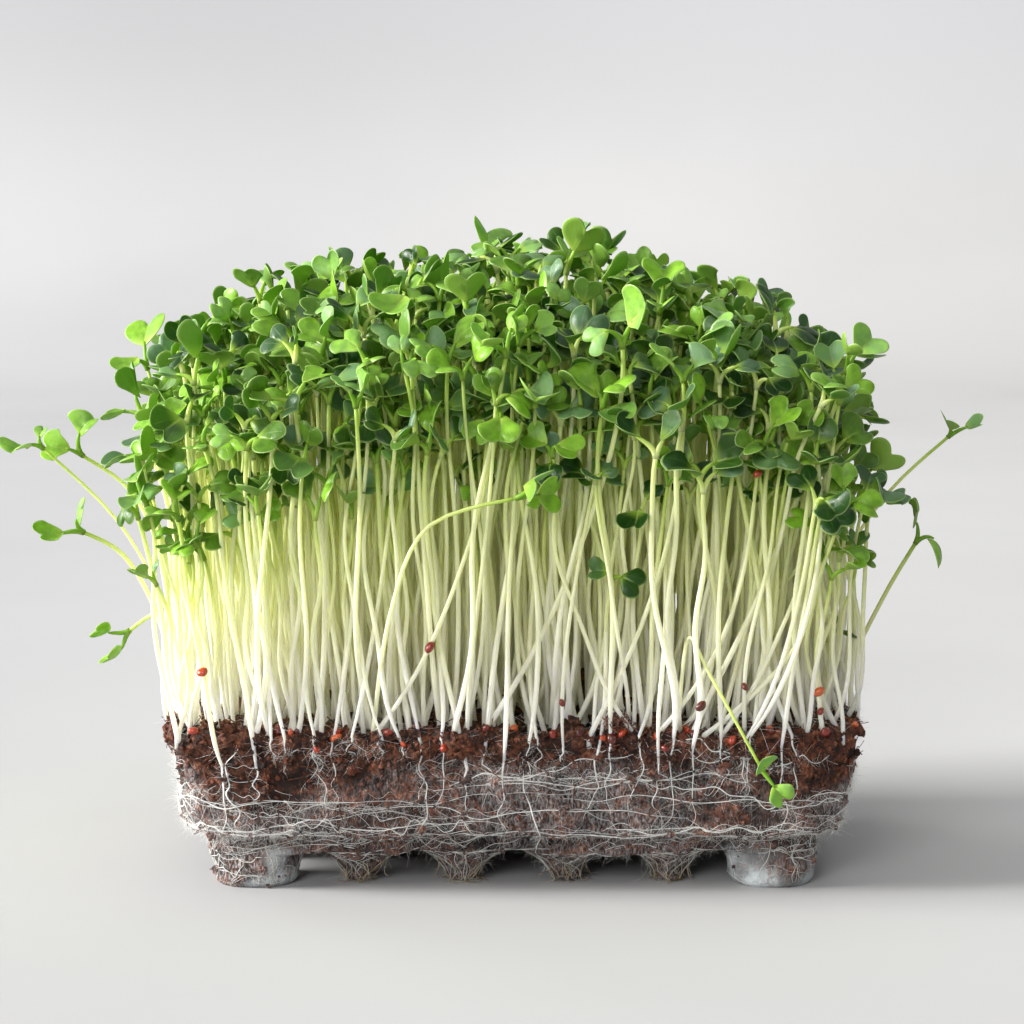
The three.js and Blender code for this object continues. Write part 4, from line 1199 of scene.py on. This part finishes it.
def sweep():
    line = [(FLOOR_FRONT, 0.0), (FLOOR_BACK, 0.0)]
    line += [(FLOOR_BACK + SWEEP_RADIUS * math.sin(a), SWEEP_RADIUS - SWEEP_RADIUS * math.cos(a))
             for a in np.linspace(0, math.pi / 2, 16)[1:]]
    line.append((FLOOR_BACK + SWEEP_RADIUS, BACKDROP_TOP))
    mesh = bpy.data.meshes.new("floor")
    mesh.from_pydata([(x, y, z) for y, z in line for x in (-FLOOR_WIDTH / 2, FLOOR_WIDTH / 2)], [],
                     [(2 * i, 2 * i + 1, 2 * i + 3, 2 * i + 2) for i in range(len(line) - 1)])
    for polygon in mesh.polygons:
        polygon.use_smooth = True
    floor = bpy.data.objects.new("floor", mesh)
    bpy.context.scene.collection.objects.link(floor)
    n = Nodes("pale stone")
    cloud = n.noise(2.2, 4.0)
    x, _, z = n.new("ShaderNodeSeparateXYZ", {0: n.place()}).outputs
    near_key = n.mix(n.range(x, -3.0, -0.3), (0.12, 0.12, 0.12), (0.43, 0.43, 0.436))
    lit = n.mix(n.range(x, -0.3, 0.15), near_key, (0.51, 0.509, 0.507))
    flat = n.mix(n.range(cloud, 0.35, 0.7, 0.0, 0.12), lit, (0.44, 0.44, 0.44), "MULTIPLY")
    wall = n.mix(n.range(x, -0.4, 0.4), (0.34, 0.34, 0.351), (0.45, 0.45, 0.465))
    colour = n.mix(n.range(z, 0.08, 0.35), flat, wall)
    mesh.materials.append(n.finish(colour, 0.75, Specular_IOR_Level=0.0))


# Each lamp's place, aim, size, power and colour
LAMPS = {
    "key": ((-6.3, -0.74, 2.06), (0, 0, 0.08), (2.4, 2.2), 1240.0, (1.0, 0.99, 0.965)),
    "back": ((-1.9, 1.7, 0.8), (0, 0, 0.08), (1.0, 0.8), 16.0, (1.0, 0.99, 0.96)),
    "front": ((-1.0, -2.7, 1.2), (0, 0, 0.07), (1.2, 1.0), 43.0, (1.0, 1.0, 1.0)),
    "top": ((0.0, -0.2, 2.4), (0, 0, 0.0), (2.0, 2.0), 14.0, (1.0, 1.0, 1.0)),
}


def lamp(name, place, aim, size, power, colour):
    data = bpy.data.lights.new(name, "AREA")
    data.shape = "RECTANGLE"
    data.size, data.size_y = size
    data.energy = power
    data.color = colour
    light = bpy.data.objects.new(name, data)
    light.location = place
    light.rotation_euler = (Vector(aim) - Vector(place)).to_track_quat("-Z", "Y").to_euler()
    bpy.context.scene.collection.objects.link(light)


# The room looks pale past the floor's edge, though it gives less light than it shows
ROOM_COLOUR, ROOM_LIGHT, ROOM_SHOWN = (0.97, 0.98, 1.0, 1.0), 0.37, 0.72


def room():
    world = bpy.data.worlds.new("room")
    world.use_nodes = True
    tree = world.node_tree
    sky = tree.nodes["Background"]
    sky.inputs[0].default_value = ROOM_COLOUR
    strength = tree.nodes.new("ShaderNodeMapRange")
    strength.inputs[3].default_value, strength.inputs[4].default_value = ROOM_LIGHT, ROOM_SHOWN
    tree.links.new(tree.nodes.new("ShaderNodeLightPath").outputs["Is Camera Ray"], strength.inputs[0])
    tree.links.new(strength.outputs[0], sky.inputs[1])
    bpy.context.scene.world = world


sweep()
for name, settings in LAMPS.items():
    lamp(name, *settings)
room()
scene = bpy.context.scene
scene.view_settings.view_transform = "Standard"
scene.cycles.diffuse_bounces = 14
scene.cycles.transmission_bounces = 14
scene.cycles.max_bounces = 20

# The camera looks a little down at the block's long side
CAMERA_PLACE, CAMERA_PITCH, FOCAL_PIXELS, PHOTO_PIXELS = (-0.0004, -0.653, 0.150), 6.33, 2870.0, 1024
data = bpy.data.cameras.new("camera")
data.sensor_width = 36.0
data.lens = FOCAL_PIXELS / PHOTO_PIXELS * data.sensor_width
data.clip_start = 0.01
camera = bpy.data.objects.new("camera", data)
camera.location = CAMERA_PLACE
camera.rotation_euler = (math.radians(90 - CAMERA_PITCH), 0, 0)
scene.collection.objects.link(camera)
scene.camera = camera

bpy.context.view_layer.update()
